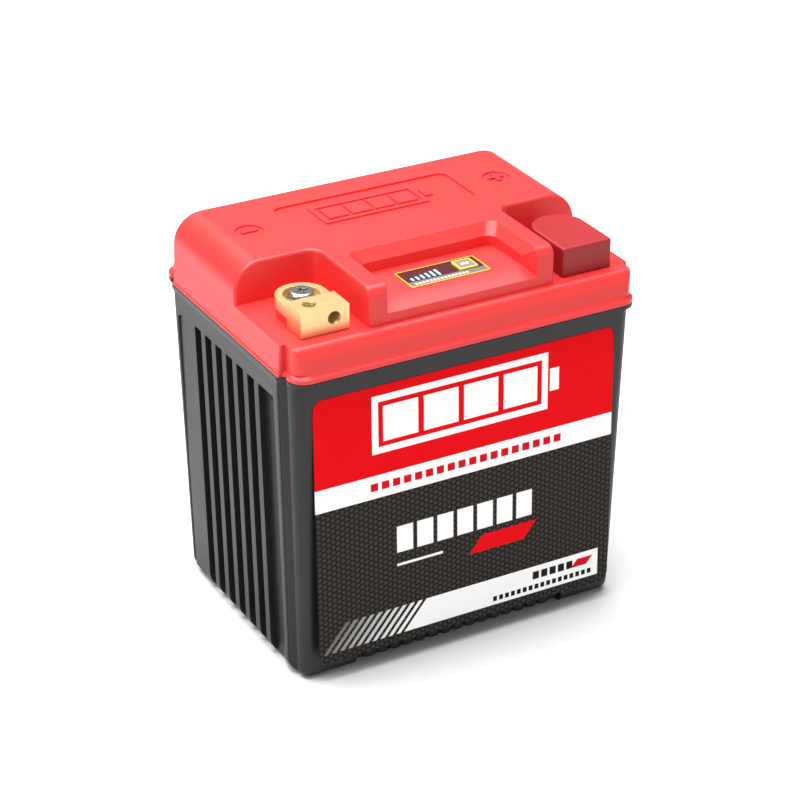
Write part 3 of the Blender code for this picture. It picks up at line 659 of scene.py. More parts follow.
# Inner pieces keep their frame meshes; each recipe is base, second tone, grain in mm,
# bump in mm, roughness and metallic
INNER_FINISHES = {
    "fastener": ("zinc_plated_nut_steel", "#c2c1bd", "#a3a19a", 0.4, 0.004, 0.30, 1.0),
    "lug": ("tinned_copper", "#cfccc4", "#b5b1a6", 0.5, 0.004, 0.32, 1.0),
    "circuit_board": ("green_solder_mask", "#1f5a35", "#2d7446", 2.2, 0.02, 0.35, 0.0),
    "component": ("moulded_epoxy", "#191919", "#262626", 0.3, 0.008, 0.55, 0.0),
    "heat_spreader": ("extruded_aluminium", "#bfc1c3", "#a9abad", 0.6, 0.010, 0.38, 1.0),
    "lamp": ("clear_lamp_resin", "#cfeef2", "#e4f8fa", 0.5, 0.002, 0.15, 0.0),
    "cell": ("heat_shrunk_sleeve", "#2a5f9c", "#32699f", 1.5, 0.015, 0.35, 0.0),
    "holder": ("moulded_flame_safe_pc", "#242424", "#2e2e2e", 0.4, 0.012, 0.50, 0.0),
    "bus_plate": ("rolled_nickel", "#cbc8c0", "#b7b3a9", 0.5, 0.004, 0.30, 1.0),
    "foam": ("closed_cell_foam", "#2d2d2f", "#39393b", 1.2, 0.12, 0.90, 0.0),
    "insulation": ("pressed_insulating_paper", "#d9cfae", "#cbbf9b", 0.8, 0.020, 0.80, 0.0),
    "positive_wire": ("red_silicone_jacket", "#b5231f", "#a11c19", 0.6, 0.006, 0.50, 0.0),
    "negative_wire": ("black_silicone_jacket", "#1b1b1b", "#252525", 0.6, 0.006, 0.50, 0.0),
}


def inner_material(recipe):
    name, first, second, size, height, roughness, metallic = recipe
    made, shader = new_material(name, colour(first), roughness, metallic)
    return mottle(made, shader, colour(first), second, size, height, roughness, 0.1)


# Case


def wall_inset(z):
    lean = (WALL_TOP_Z - z) * DRAFT
    return WALL_INSET[0] + lean, WALL_INSET[1] + lean


def wall_column(half_x, half_y, radius, drop_y, low_z=0.0):
    """A tapered column of the case wall, from inside the flange down to the floor."""
    top_x, top_y = half_x - WALL_INSET[0], half_y - drop_y[0]
    column = block((-top_x, -top_y, WALL_TOP_Z), (top_x, top_y, FLANGE_LOW_Z - 0.6))
    round_edges(column, upright, radius, 8)
    low_x = half_x - wall_inset(0)[0]
    low_y = half_y - drop_y[1]
    draw_out(
        column, level(WALL_TOP_Z), (0, 0, low_z - WALL_TOP_Z),
        (low_x / top_x, low_y / top_y, 1),
    )
    return column


def floor_trough():
    """A long trough that rounds the foot of the two ends, from front to rear."""
    top_x, low_x = HALF_X - WALL_INSET[0], HALF_X - wall_inset(0)[0]
    spare = 0.02
    trough = block((-top_x - spare, -70, WALL_TOP_Z), (top_x + spare, 70, FLANGE_LOW_Z))
    scale = (low_x + spare) / (top_x + spare)
    draw_out(trough, level(WALL_TOP_Z), (0, 0, -WALL_TOP_Z), (scale, 1, 1))
    round_edges(trough, lambda c: at(c, 2, 0) and abs(c[0].y - c[1].y) > 1, SIDE_FLOOR_R, 10)
    return trough


def flange(half_x, half_y, radius, inset):
    """The rim under the lid and the chamfer that runs back to the wall."""
    rim = block((-half_x, -half_y, FLANGE_LOW_Z), (half_x, half_y, FLANGE_TOP_Z))
    round_edges(rim, upright, radius, 10)
    draw_out(
        rim, level(FLANGE_LOW_Z), (0, 0, WALL_TOP_Z - FLANGE_LOW_Z),
        ((half_x - inset[0]) / half_x, (half_y - inset[1]) / half_y, 1),
    )
    return rim


def corner_notches(low, high, lean):
    """Cutters of the four upright V notches beside the corner posts."""
    half = NOTCH_HALF
    x, y = NOTCH_AT
    wedge = rod((x + half, y, (FLANGE_LOW_Z + high) / 2), half, high - FLANGE_LOW_Z, 4)
    if lean:
        drop = WALL_TOP_Z - FLANGE_LOW_Z
        draw_out(wedge, level(FLANGE_LOW_Z), (-WALL_INSET[0], -1.8, drop))
        draw_out(
            wedge, level(WALL_TOP_Z),
            (-DRAFT * (WALL_TOP_Z - low), -1.3, low - WALL_TOP_Z),
        )
    other = mirrored(wedge)
    pair = merge([wedge, other])
    far = mirrored(pair, 1)
    return merge([pair, far])


def groove_tool(low_y, high_y, floor_x, slope):
    """One groove's cutter: it leans with the wall and runs out over a curve at the top."""
    outer = HALF_X + 4
    tool = block((floor_x, low_y, -3), (outer, high_y, GROOVE_TOP_Z))
    shift(tool, level(-3), (-DRAFT * (GROOVE_TOP_Z + 3), 0, 0))
    if slope:
        scale = (high_y - low_y + slope) / (high_y - low_y)
        stretch(
            tool, lambda c: min(v.x for v in c) > floor_x + 4, (1, scale, 1), (0, high_y, 0), "FACE"
        )
    round_edges(tool, lambda c: at(c, 2, GROOVE_TOP_Z) and at(c, 0, floor_x), RUN_OUT_R, 8)
    round_edges(tool, lambda c: groove_floor_edge(c, floor_x), 1.4, 4)
    stretch(
        tool, lambda c: c[0].z > GROOVE_TOP_Z - RUN_OUT_R - 0.01, (1, 1, RUN_OUT_STRETCH),
        (0, 0, GROOVE_TOP_Z),
    )
    return tool


def side_grooves(settings):
    """Cutters for the upright grooves, round at the floor and at the top."""
    depth, width = settings.groove_depth / MM, settings.groove_width / MM
    floor_x = HALF_X - wall_inset(GROOVE_TOP_Z)[0] - depth
    cutters = []
    for k in range(settings.grooves):
        y = GROOVE_MID_Y + GROOVE_PITCH * (k - (settings.grooves - 1) / 2)
        slope = FRONT_GROOVE_SLOPE if k == 0 else 0.0
        tool = groove_tool(y - width / 2, y + width / 2, floor_x, slope)
        cutters += [tool, mirrored(tool)]
    return merge(cutters)


def groove_floor_edge(corners, floor_x):
    """True for the two long edges at the groove's floor."""
    a, b = corners
    long = abs(a.z - b.z) > 50
    return long and all(c.x < floor_x + 0.1 for c in corners)


def rear_recesses():
    """Cutters of the wide shallow recess in the rear post of each end, round at its top."""
    floor_x = HALF_X - wall_inset(GROOVE_TOP_Z)[0] - REAR_PANEL_DEPTH
    y0, y1 = REAR_PANEL_Y
    tool = block((floor_x, y0, -3), (HALF_X + 4, y1, GROOVE_TOP_Z - 1))
    round_edges(tool, lambda c: at(c, 2, GROOVE_TOP_Z - 1) and abs(c[0].x - c[1].x) > 1, 4.5, 8)
    shift(tool, level(-3), (-DRAFT * (GROOVE_TOP_Z + 2), 0, 0))
    return merge([tool, mirrored(tool)])


def foot_reliefs():
    """Cutters that leave four corner feet."""
    across = block((-90, FOOT_FRONT_Y, -3), (90, FOOT_REAR_Y, FOOT_H))
    along = block((-FOOT_X, -70, -3), (FOOT_X, 70, FOOT_H))
    return across, along


def hold_notch(side):
    """The cutter of the clamp step, with round upper corners."""
    y0, y1 = sorted((side * 70, side * TOOTH_ROOT_Y))
    tool = block((-FOOT_X, y0, -4), (FOOT_X, y1, HOLD_TOP_Z))
    round_edges(tool, lambda c: at(c, 2, HOLD_TOP_Z) and abs(c[0].y - c[1].y) > 1, 4.5, 8)
    return tool


def teeth(side, count):
    """The row of half-round upright teeth on the back of the clamp step."""
    half = TOOTH_PITCH / 2 - 0.06
    row = []
    low, high = FOOT_H, HOLD_TOP_Z + 1.5
    for k in range(count):
        x = TOOTH_PITCH * (k - (count - 1) / 2)
        tooth = rod((0, 0, (low + high) / 2), half, high - low, 20)
        round_edges(tooth, level(low), 1.0, 4)
        tooth.scale = (1, (TOOTH_TIP_Y - TOOTH_ROOT_Y) / half, 1)
        settle(tooth)
        tooth.location = (x * MM, side * (TOOTH_ROOT_Y - 0.02) * MM, 0)
        row.append(settle(tooth))
    return merge(row)


def label_plate(grow, front, back):
    """A rounded plate that leans with the front wall, between two depths from it."""
    low_x, high_x = LABEL_LOW[0] - grow, LABEL_HIGH[0] + grow
    low_z, high_z = LABEL_LOW[2] - grow, LABEL_HIGH[2] + grow
    base_y = -(HALF_Y - wall_inset(high_z)[1])
    plate = block((low_x, base_y + front, low_z), (high_x, base_y + back, high_z))
    round_edges(plate, lambda c: abs(c[0].y - c[1].y) > 0.1, LABEL_R + grow, 10)
    pick_all(plate)
    pivot = (0, base_y * MM, high_z * MM)
    bpy.ops.transform.rotate(value=math.atan(DRAFT), orient_axis="X", center_override=pivot)
    object_mode()
    return plate


def make_case(settings):
    corner_x = HALF_X - CORNER_STEP
    case = wall_column(corner_x, HALF_Y, WALL_R, (WALL_INSET[1], wall_inset(0)[1]))
    round_edges(case, level(0), FLOOR_R, 6)
    ends = wall_column(HALF_X, SIDE_Y, POST_R, POST_INSET_Y, -0.5)
    add(case, keep(ends, floor_trough()))
    add(case, flange(corner_x, HALF_Y, FLANGE_R, WALL_INSET))
    add(case, flange(HALF_X, SIDE_Y, POST_R, (WALL_INSET[0], POST_INSET_Y[0])))
    cut(case, corner_notches(-3, FLANGE_TOP_Z + 2, True))
    cut(case, side_grooves(settings), rear_recesses(), *foot_reliefs())
    for side in (-1, 1):
        cut(case, hold_notch(side))
        add(case, teeth(side, settings.teeth))
    cut(case, label_plate(0.3, -3.0, 0.6))
    tidy_faces(case)
    soften(case, settings.case_edge / MM, 2)
    x, y = CAVITY
    room = block((-x, -y, CAVITY_FLOOR_Z), (x, y, FLANGE_TOP_Z + 5))
    round_edges(room, upright, 6, 5)
    well = block((1 - x, 5.4 - y, WELL_FLOOR_Z), (x - 1, y - 5.4, CAVITY_FLOOR_Z + 1))
    cut(case, room, well)
    return finish_piece(case, "case_shell", ["case"], black_abs(settings))


# Lid


LIP_STEPS = ((0.0, 1.6, 0.0), (1.6, 2.0, 0.45), (2.0, 2.5, 1.2), (2.5, 3.3, 1.7), (3.3, 4.7, 2.0))


def lid_ring(half_x, half_y, radius):
    """The lid's rim: a straight lip, then a small cove up to the wall."""
    ring = block((-half_x, -half_y, SEAM_Z), (half_x, half_y, SEAM_Z + LIP_STEPS[0][1]))
    round_edges(ring, upright, radius, 10)
    inset = 0.0
    for low, high, draw in LIP_STEPS[1:]:
        scale = (1 - (draw - inset) / (half_x - inset), 1 - (draw - inset) / (half_y - inset), 1)
        draw_out(ring, level(SEAM_Z + low), (0, 0, high - low), scale)
        inset = draw
    return ring


def side_walls():
    """The plain outer faces of the two ends: a thin bead at the seam, then a slight lean."""
    wall = block((-HALF_X, -SIDE_Y, SEAM_Z), (HALF_X, REAR_Y - 1, SEAM_Z + 0.8))
    foot_x = HALF_X - 0.45
    for low, high, x in ((0.8, 1.3, foot_x), (1.3, POCKET_Z - SEAM_Z, SIDE_TOP_X)):
        wide = max(c.co.x for c in wall.data.vertices if c.co.z / MM > SEAM_Z + low - 0.1) / MM
        draw_out(wall, level(SEAM_Z + low), (0, 0, high - low), (x / wide, 1, 1))
    round_edges(wall, lambda c: abs(c[0].z - c[1].z) > 5, 0.8, 3)
    return wall


def front_bulge():
    """The full front of the lid, which swells down and out to the lip."""
    half = HALF_X - CORNER_STEP - 1.4
    top = BULGE_LOW_Z + BULGE_IN
    bulge = block((-half, BULGE_FRONT_Y, SEAM_Z + 3), (half, 0, top))
    round_edges(bulge, lambda c: at(c, 2, top) and at(c, 1, BULGE_FRONT_Y), BULGE_IN - 0.05, 12)
    taller = (POCKET_Z - BULGE_LOW_Z) / BULGE_IN
    stretch(bulge, lambda c: c[0].z > BULGE_LOW_Z, (1, 1, taller), (0, 0, BULGE_LOW_Z))
    corners = block((-half, BULGE_FRONT_Y, SEAM_Z), (half, 5, POCKET_Z + 5))
    round_edges(corners, lambda c: upright(c) and c[0].y < -1, 5.2, 10)
    keep(bulge, corners)
    round_sharp(
        bulge, 3.2, 7, lambda c: min(v.z for v in c) > BULGE_LOW_Z + 1 and max(v.y for v in c) < -1
    )
    return bulge


def rear_ledge():
    """The low step along the back of the lid."""
    half = HALF_X - CORNER_STEP - 2.0
    ledge = block((-half, 0, SEAM_Z + 3), (half, -BULGE_FRONT_Y, LEDGE_Z))
    round_edges(ledge, lambda c: upright(c) and c[0].y > 1, 5.8, 8)
    round_edges(ledge, lambda c: at(c, 2, LEDGE_Z) and not at(c, 1, 0), 2.6, 6)
    return ledge


def near_pocket(point):
    """True on the back wall of the pockets and on the coves at its inner ends."""
    return abs(point.x) > BLOCK_X - 0.5 and POCKET_BACK_Y - 6 < point.y < POCKET_BACK_Y + 1


def upper_body(settings):
    """The raised rear and the centre block as one T, coved where they meet."""
    low, high = LEDGE_Z - 1.5, TOP_Z + 5
    body = block((-SIDE_TOP_X, POCKET_BACK_Y, low), (SIDE_TOP_X, REAR_Y, high))
    for x in (-BLOCK_X, BLOCK_X):
        pick_all(body)
        bpy.ops.mesh.bisect(plane_co=(x * MM, 0, 0), plane_no=(1, 0, 0))
    object_mode()
    draw_out(
        body, lambda c: at(c, 1, POCKET_BACK_Y) and all(abs(v.x) < BLOCK_X + 0.1 for v in c),
        (0, BLOCK_FRONT_Y - POCKET_BACK_Y, 0),
    )
    round_edges(
        body,
        lambda c: upright(c) and abs(abs(c[0].x) - BLOCK_X) < 0.1 and at(c, 1, POCKET_BACK_Y),
        5.5, 8,
    )
    for z in (low, high):
        drift = FOOT_LEAN_Y * (z - TOP_Z) / (TOP_Z - POCKET_Z)
        shift(body, lambda c: at(c, 2, z) and near_pocket(c[0]), (0, drift, 0), "VERT")
    vault = block((-SIDE_TOP_X + 0.01, -70, low - 5), (SIDE_TOP_X - 0.01, 70, POCKET_Z))
    lean = SHOULDER_X / (SIDE_TOP_X - 0.01)
    draw_out(vault, level(POCKET_Z), (0, 0, TOP_Z - POCKET_Z), (lean, 1, 1))
    round_edges(
        vault, lambda c: at(c, 2, TOP_Z) and abs(c[0].y - c[1].y) > 1, settings.shoulder / MM, 18
    )
    nose = block((-BLOCK_X - 50, BLOCK_FRONT_Y, low - 6), (BLOCK_X + 50, 71, TOP_Z))
    round_edges(nose, lambda c: at(c, 2, TOP_Z) and at(c, 1, BLOCK_FRONT_Y), BLOCK_FRONT_R, 8)
    keep(body, vault, nose)
    tidy_faces(body)
    round_sharp(body, settings.lid_edge / MM, 5, lambda c: max(v.z for v in c) > low + 1)
    return body


def boss(side):
    """The pad under a terminal's tab, round at the back and flat at the front."""
    x, radius = side * TERMINAL_X, 10.4
    low, top = POCKET_Z - 2, TAB_Z[0] - GAP
    pad = rod((x, TAB_Y, (low + top) / 2), radius, top - low, 48)
    front = TERMINAL_STEP_Y + GAP
    fill = block((x - radius, front, low), (x + radius, TAB_Y, top))
    trim = block((x - 20, front - 10, low - 3), (x + 20, front, top + 5))
    add(pad, fill)
    return cut(pad, trim)


def indicator_recess():
    """The sunken window: straight lower walls, then a wide chamfer up to the top."""
    chamfer_z = TOP_Z - RECESS_CHAMFER
    front = BLOCK_FRONT_Y - 4
    tool = block((-RECESS_X, front, RECESS_Z), (RECESS_X, RECESS_BACK_Y, chamfer_z))
    round_edges(tool, lambda c: upright(c) and at(c, 1, RECESS_BACK_Y), RECESS_CORNER_R, 12)
    grow_x = (RECESS_X + RECESS_SPREAD) / RECESS_X
    length = RECESS_BACK_Y - front
    grow_y = (length + RECESS_SPREAD + 1.0) / length
    draw_out(
        tool, level(chamfer_z), (0, 0, RECESS_CHAMFER), (grow_x, grow_y, 1),
        (0, front, 0),
    )
    draw_out(tool, level(TOP_Z), (0, 0, 4))
    return tool


def recess_mouth():
    """Flares the window's floor and sides out to the front of the block."""
    high = TOP_Z + 3
    start = MOUTH_BACK_Y
    mouth = block((-RECESS_X, start, RECESS_Z), (RECESS_X, start + 3, high))
    wide = (RECESS_X + RECESS_SPREAD) / RECESS_X
    tall = (high - RECESS_Z + RECESS_SPREAD) / (high - RECESS_Z)
    draw_out(
        mouth, lambda c: at(c, 1, start), (0, BLOCK_FRONT_Y - start, 0), (wide, 1, tall),
        (0, 0, high),
    )
    draw_out(mouth, lambda c: at(c, 1, BLOCK_FRONT_Y), (0, -3, 0))
    return mouth


def panel_seat():
    """Cutters under the indicator: its seat, the button's room, its stem, the lamps' window."""
    seat_z = PANEL_LOW[2] - GAP
    seat = block(
        (PANEL_LOW[0] - 0.25, PANEL_LOW[1] - 0.25, seat_z),
        (PANEL_HIGH[0] + 0.25, PANEL_HIGH[1] + 0.25, TOP_Z),
    )
    room = block(
        (BUTTON_LOW[0] - 0.4, BUTTON_LOW[1] - 0.4, seat_z - 1.7),
        (BUTTON_HIGH[0] + 0.4, BUTTON_HIGH[1] + 0.4, seat_z + 0.5),
    )
    stem = rod((BUTTON_MID[0], BUTTON_MID[1], 162), 2.6, 6, 24)
    window = block((-16.5, -43.6, 160), (3.6, -35.0, seat_z + 0.5))
    return seat, room, stem, window


def top_plate():
    """Cutter of the sunk plate in the top."""
    x0, y0, x1, y1 = PLATE
    plate = block((x0, y0, TOP_Z - PLATE_DEPTH), (x1, y1, TOP_Z + 2))
    round_edges(plate, upright, 4, 8)
    return plate


def emblem():
    """The raised battery pictogram in the sunk plate: an outline, a nub and four bars."""
    x0, y0, x1, y1, line = -28.0, 11.5, 22.0, 29.5, 2.2
    low, high = TOP_Z - PLATE_DEPTH - 0.4, TOP_Z - 0.15
    outline = block((x0, y0, low), (x1, y1, high))
    cut(outline, block((x0 + line, y0 + line, low - 1), (x1 - line, y1 - line, high + 1)))
    pieces = [outline, block((x1 + 1, y0 + 5.5, low), (x1 + 4.5, y1 - 5.5, high))]
    pitch = (x1 - x0 - 2 * line - 1.6) / 4
    for k in range(4):
        left = x0 + line + 1.6 + pitch * k
        pieces.append(
            block((left, y0 + line + 1.6, low), (left + pitch - 1.6, y1 - line - 1.6, high))
        )
    return merge(pieces)


def polarity_marks():
    """The sunk discs of the polarity marks and the raised bars in them."""
    x, y = MARK_AT
    discs = [rod((side * x, y, TOP_Z), 6.0, 1.7, 64) for side in (-1, 1)]
    low, high = TOP_Z - 1.2, TOP_Z - 0.02
    minus = block((-x - 3.7, y - 0.85, low), (-x + 3.7, y + 0.85, high))
    plus = block((x - 3.7, y - 0.85, low), (x + 3.7, y + 0.85, high))
    add(plus, block((x - 0.85, y - 3.7, low + 0.01), (x + 0.85, y + 3.7, high - 0.001)))
    return merge(discs), merge([minus, plus])


def hollows():
    """Cutters of the room under the lid: below the pockets, in the raised rear, in the block."""
    wide, ceiling = SHOULDER_X - 3.8, POCKET_Z - 3
    under = block((-wide, -52, SEAM_Z - 1), (wide, REAR_Y - 3.4, ceiling))
    rear = block((-66, POCKET_BACK_Y + 3, ceiling - 1), (66, REAR_Y - 3.7, TOP_Z - 3.2))
    middle = BLOCK_X - 3.3
    front = BLOCK_FRONT_Y + 3.3
    return under, rear, block((-middle, front, ceiling - 1), (middle, -4, RECESS_Z - 3.6))


def make_lid(settings):
    corner_x = HALF_X - CORNER_STEP
    lid = lid_ring(corner_x, HALF_Y, FLANGE_R)
    cut(lid, corner_notches(SEAM_Z - 3, SEAM_Z + 6, False))
    add(lid, side_walls(), front_bulge(), rear_ledge(), upper_body(settings))
    add(lid, boss(-1), boss(1))
    cut(lid, indicator_recess(), recess_mouth(), top_plate())
    discs, signs = polarity_marks()
    cut(lid, discs)
    add(lid, signs, emblem())
    cut(lid, *panel_seat())
    tidy_faces(lid)
    soften(lid, settings.lid_fine_edge / MM, 3, 32)
    cut(lid, *hollows())
    for side in (-1, 1):
        cut(lid, rod((side * TERMINAL_X, TAB_Y, 160), SCREW_HOLE_R, 30, 24))
    return finish_piece(lid, "lid_shell", ["lid"], red_abs(settings))


# Label


def make_label(settings):
    lower = LABEL_LOW[1]
    top_y = -(HALF_Y - wall_inset(LABEL_HIGH[2])[1])
    face = lower - top_y
    film = label_plate(0.0, face, face + 0.33)
    return finish_piece(film, "label_film", ["front_label"], label_film(settings))


# Terminals


def terminal(side, brass_skin):
    """A block with a sunk round tab, two tapped holes and broken edges."""
    x = side * TERMINAL_X
    half = TERMINAL_HALF
    low, top = TERMINAL_LOW[2], TERMINAL_HIGH[2]
    front = TERMINAL_LOW[1]
    post = block((x - half, front, low), (x + half, TERMINAL_STEP_Y, top))
    tab = rod((x, TAB_Y, sum(TAB_Z) / 2), half, TAB_Z[1] - TAB_Z[0], 64)
    neck = block((x - half, TERMINAL_STEP_Y - 1, TAB_Z[0]), (x + half, TAB_Y, TAB_Z[1]))
    add(tab, neck)
    sink = rod((x, TAB_Y, SINK_Z + 5), SINK_R, 10, 64)
    cut(tab, sink)
    add(post, tab)
    guard = rod((x, TAB_Y, SINK_Z + 1.29), SINK_R, 2.58, 64)
    limit = block((x - 20, TERMINAL_STEP_Y, 150), (x + 20, 0, 180))
    keep(guard, limit)
    cut(post, guard)
    tidy_faces(post)
    soften(post, 0.45, 3, 40)
    hole_x, hole_y = side * TOP_HOLE[0], TOP_HOLE[1]
    cut(post, threaded_hole((hole_x, hole_y, top), "Z"))
    cut(post, threaded_hole((side * FRONT_HOLE[0], front, FRONT_HOLE[1]), "Y"))
    cut(post, rod((x, TAB_Y, 160), SCREW_HOLE_R, 20, 32))
    name = SIDE_NAMES[side]
    return finish_piece(
        post, name + "_brass_post", [name + "_terminal"], brass_skin, smooth=30
    )


def threaded_hole(mouth, axis):
    """A cutter for a tapped hole: a countersink, then a stack of thread ridges."""
    pitch, turns, radius = 1.0, 9, TAPPED_R
    tool = rod((0, 0, 0.3), radius + MOUTH_BREAK, 1.2, 40)
    narrow = radius / (radius + MOUTH_BREAK)
    draw_out(tool, level(-0.3), (0, 0, -0.3), (narrow, narrow, 1))
    depth = -0.6
    for _ in range(turns):
        wide = (radius + 0.28) / radius
        draw_out(tool, level(depth), (0, 0, -pitch / 2), (wide, wide, 1))
        depth -= pitch / 2
        draw_out(tool, level(depth), (0, 0, -pitch / 2), (1 / wide, 1 / wide, 1))
        depth -= pitch / 2
    if axis == "Y":
        tool.rotation_euler = (math.pi / 2, 0, 0)
    tool.location = [v * MM for v in mouth]
    return settle(tool)


def terminal_screw(side, steel):
    """A pan head on its flange, with a cross recess and a plain shank."""
    x = side * TERMINAL_X
    seat, top = SINK_Z + GAP, SCREW_HIGH[2]
    head = rod((x, TAB_Y, (seat + 1 + top) / 2), 5.4, top - seat - 1, 64)
    round_edges(head, level(top), 1.3, 6)
    collar = rod((x, TAB_Y, seat + 0.6), 6.1, 1.2, 64)
    round_edges(collar, level(seat + 1.2), 0.35, 2)
    foot = SCREW_LOW[2]
    shank = rod((x, TAB_Y, (foot + seat) / 2 + 0.2), 2.5, seat - foot + 0.4, 32)
    add(head, collar, shank)
    for width, length in ((0.62, 3.1), (3.1, 0.62)):
        slot = block((x - width, TAB_Y - length, top - 2.4), (x + width, TAB_Y + length, top + 1))
        stretch(slot, level(top - 2.4), (0.72, 0.72, 1), (x, TAB_Y, 0))
        cut(head, slot)
    cup = rod((x, TAB_Y, top), 1.15, 2.0, 24)
    cut(head, cup)
    name = SIDE_NAMES[side]
    return finish_piece(
        head, name + "_pan_screw", [name + "_terminal_screw"], steel, smooth=30
    )


# Cover of the positive terminal


def d_block(half, front, low, high, corner):
    """A block that is round at the back and nearly square at the front."""
    y = COVER_HIGH[1] - (COVER_HIGH[0] - COVER_LOW[0]) / 2
    x = (COVER_LOW[0] + COVER_HIGH[0]) / 2
    body = block((x - half, front, low), (x + half, y + half, high))
    round_edges(body, lambda c: upright(c) and at(c, 1, y + half), half - 0.02, 24)
    round_edges(body, lambda c: upright(c) and at(c, 1, front), corner, 4)
    return body


def make_cover(settings):
    wall = 0.8
    half = (COVER_HIGH[0] - COVER_LOW[0]) / 2
    low, top = COVER_LOW[2], COVER_HIGH[2]
    cap = d_block(half, COVER_LOW[1], low, top, 1.2)
    round_edges(cap, level(top), settings.cover_edge / MM, 5)
    cut(cap, d_block(half - wall, COVER_LOW[1] + wall, low - 2, top - 1.4, 0.4))
    return finish_piece(
        cap, "positive_soft_cap", ["positive_terminal_cover"], soft_vinyl(settings),
        "positive_cover", 40,
    )


# Indicator


def make_panel():
    film = block(PANEL_LOW, PANEL_HIGH)
    round_edges(film, upright, 0.8, 4)
    inset = BUTTON_FLANGE - GAP
    low = (BUTTON_LOW[0] + inset, BUTTON_LOW[1] + inset, PANEL_LOW[2] - 5)
    cut(film, block(low, (BUTTON_HIGH[0] - inset, BUTTON_HIGH[1] - inset, PANEL_HIGH[2] + 5)))
    soften(film, 0.12, 2, 40)
    return finish_piece(film, "indicator_membrane", ["indicator_panel"], panel_film())


def make_button():
    """The square cap, the flange that holds it in, and the stem to the switch."""
    (x0, y0, stem_z), (x1, y1, top) = BUTTON_LOW, BUTTON_HIGH
    foot_z = PANEL_LOW[2] - GAP
    cap = block(
        (x0 + BUTTON_FLANGE, y0 + BUTTON_FLANGE, foot_z - 0.5),
        (x1 - BUTTON_FLANGE, y1 - BUTTON_FLANGE, top),
    )
    round_edges(cap, upright, 0.7, 4)
    round_edges(cap, level(top), 0.3, 3)
    foot = block((x0, y0, foot_z - 0.8), (x1, y1, foot_z))
    stem = rod((*BUTTON_MID, (stem_z + foot_z) / 2 - 0.2), 2.0, foot_z - stem_z - 0.4)
    add(cap, foot, stem)
    return finish_piece(
        cap, "test_button_cap", ["test_button"], button_film(), "indicator_button"
    )


# Stage


def light(name, at_mm, aim_mm, size, power):
    """A soft box that looks at a point."""
    deselect()
    bpy.ops.object.light_add(type="AREA", location=[v * MM for v in at_mm])
    lamp = bpy.context.object
    lamp.name = name
    lamp.data.shape = "RECTANGLE"
    lamp.data.size, lamp.data.size_y = size
    lamp.data.energy = power
    away = Vector(at_mm) - Vector(aim_mm)
    lamp.rotation_euler = away.to_track_quat("Z", "Y").to_euler()
    return lamp


def make_stage():
    """A pale floor, soft boxes and the camera."""
    deselect()
    bpy.ops.mesh.primitive_plane_add(size=14, location=(0, 0, 0))
    floor = bpy.context.object
    floor.name = "studio_floor"
    skin, shader = new_material("matt_studio_floor", colour("#dcdcdc"), 0.9, Specular_IOR_Level=0.1)
    grain(skin.node_tree, shader, 2.0, 0.02, 0.9, 0.04)
    floor.data.materials.append(skin)
    world = bpy.data.worlds.new("pale_studio")
    bpy.context.scene.world = world
    world.use_nodes = True
    world.node_tree.nodes["Background"].inputs[0].default_value = colour("#f7f8fa")
    world.node_tree.nodes["Background"].inputs[1].default_value = 0.31
    light("top_softbox", (-150, 250, 1500), (0, 0, 100), (1.6, 1.6), 69)
    light("left_softbox", (-1300, -100, 700), (0, 0, 90), (0.9, 1.2), 5)
    light("front_fill", (500, -1500, 500), (0, 0, 90), (1.2, 1.0), 4)
    deselect()
    turn = (math.radians(62.240), 0, math.radians(-29.024))
    bpy.ops.object.camera_add(location=(-0.479281, -0.865407, 0.609971), rotation=turn)
    camera = bpy.context.object
    camera.name = "studio_camera"
    camera.data.sensor_width = 36
    camera.data.lens = 115.52
    camera.data.clip_start = 0.05
    bpy.context.scene.camera = camera
    bpy.context.scene.view_settings.view_transform = "Standard"


def finish_inner():
    """Gives each frame piece that stays a procedural material by its slot."""
    slots = {row["node"]: row["material_slot"] for row in frame["record"]["subparts"]}
    made = {}
    for name, obj in frame["nodes"].items():
        slot = slots.get(name)
        if slot not in INNER_FINISHES or name.endswith("_terminal_screw"):
            continue
        if slot not in made:
            made[slot] = inner_material(INNER_FINISHES[slot])
        for index in range(len(obj.material_slots)):
            obj.material_slots[index].material = made[slot]
        if not obj.material_slots:
            obj.data.materials.append(made[slot])


# Add-on


def length(name, description, default):
    return bpy.props.FloatProperty(
        name=name, description=description, default=default, unit="LENGTH"
    )


def tint(name, description, code):
    return bpy.props.FloatVectorProperty(
        name=name, description=description, default=colour(code)[:3], subtype="COLOR"
    )


class BatterySettings(bpy.types.PropertyGroup):
    """Sizes and colours a user would change."""

    grooves: bpy.props.IntProperty(name="Grooves", description="Grooves in each end", default=7)
    groove_width: length("Groove width", "Across the groove's mouth", 0.0062)
    groove_depth: length("Groove depth", "From the rib's face", 0.0031)
    teeth: bpy.props.IntProperty(name="Teeth", description="Teeth of the clamp step", default=15)
    case_edge: length("Case edge", "Radius of the case's edges", 0.0011)
    shoulder: length("Shoulder", "Radius of the lid's long edges", 0.0125)
    lid_edge: length("Lid edge", "Radius round the lid's top", 0.0014)
    lid_fine_edge: length("Fine edge", "Radius of the lid's other edges", 0.0004)
    cover_edge: length("Cover edge", "Radius of the cover's top edge", 0.0011)
    hexagon: bpy.props.FloatProperty(
        name="Hexagon", description="Width of the label's hexagons, in mm", default=2.2
    )
    slash_lean: bpy.props.FloatProperty(
        name="Slash lean", description="How far a slash leans over its height, in mm", default=11.0
    )
    case_colour: tint("Case", "Case plastic", "#191919")
    lid_colour: tint("Lid", "Lid plastic", "#d83030")
    cover_colour: tint("Cover", "Terminal cover", "#8c1418")
    label_colour: tint("Label", "Label's red field", "#e0020f")


class BATTERY_OT_case(bpy.types.Operator):
    """Model the ribbed case"""

    bl_idname = "battery.case"
    bl_label = "Case"

    def execute(self, context):
        make_case(context.scene.battery)
        return {"FINISHED"}


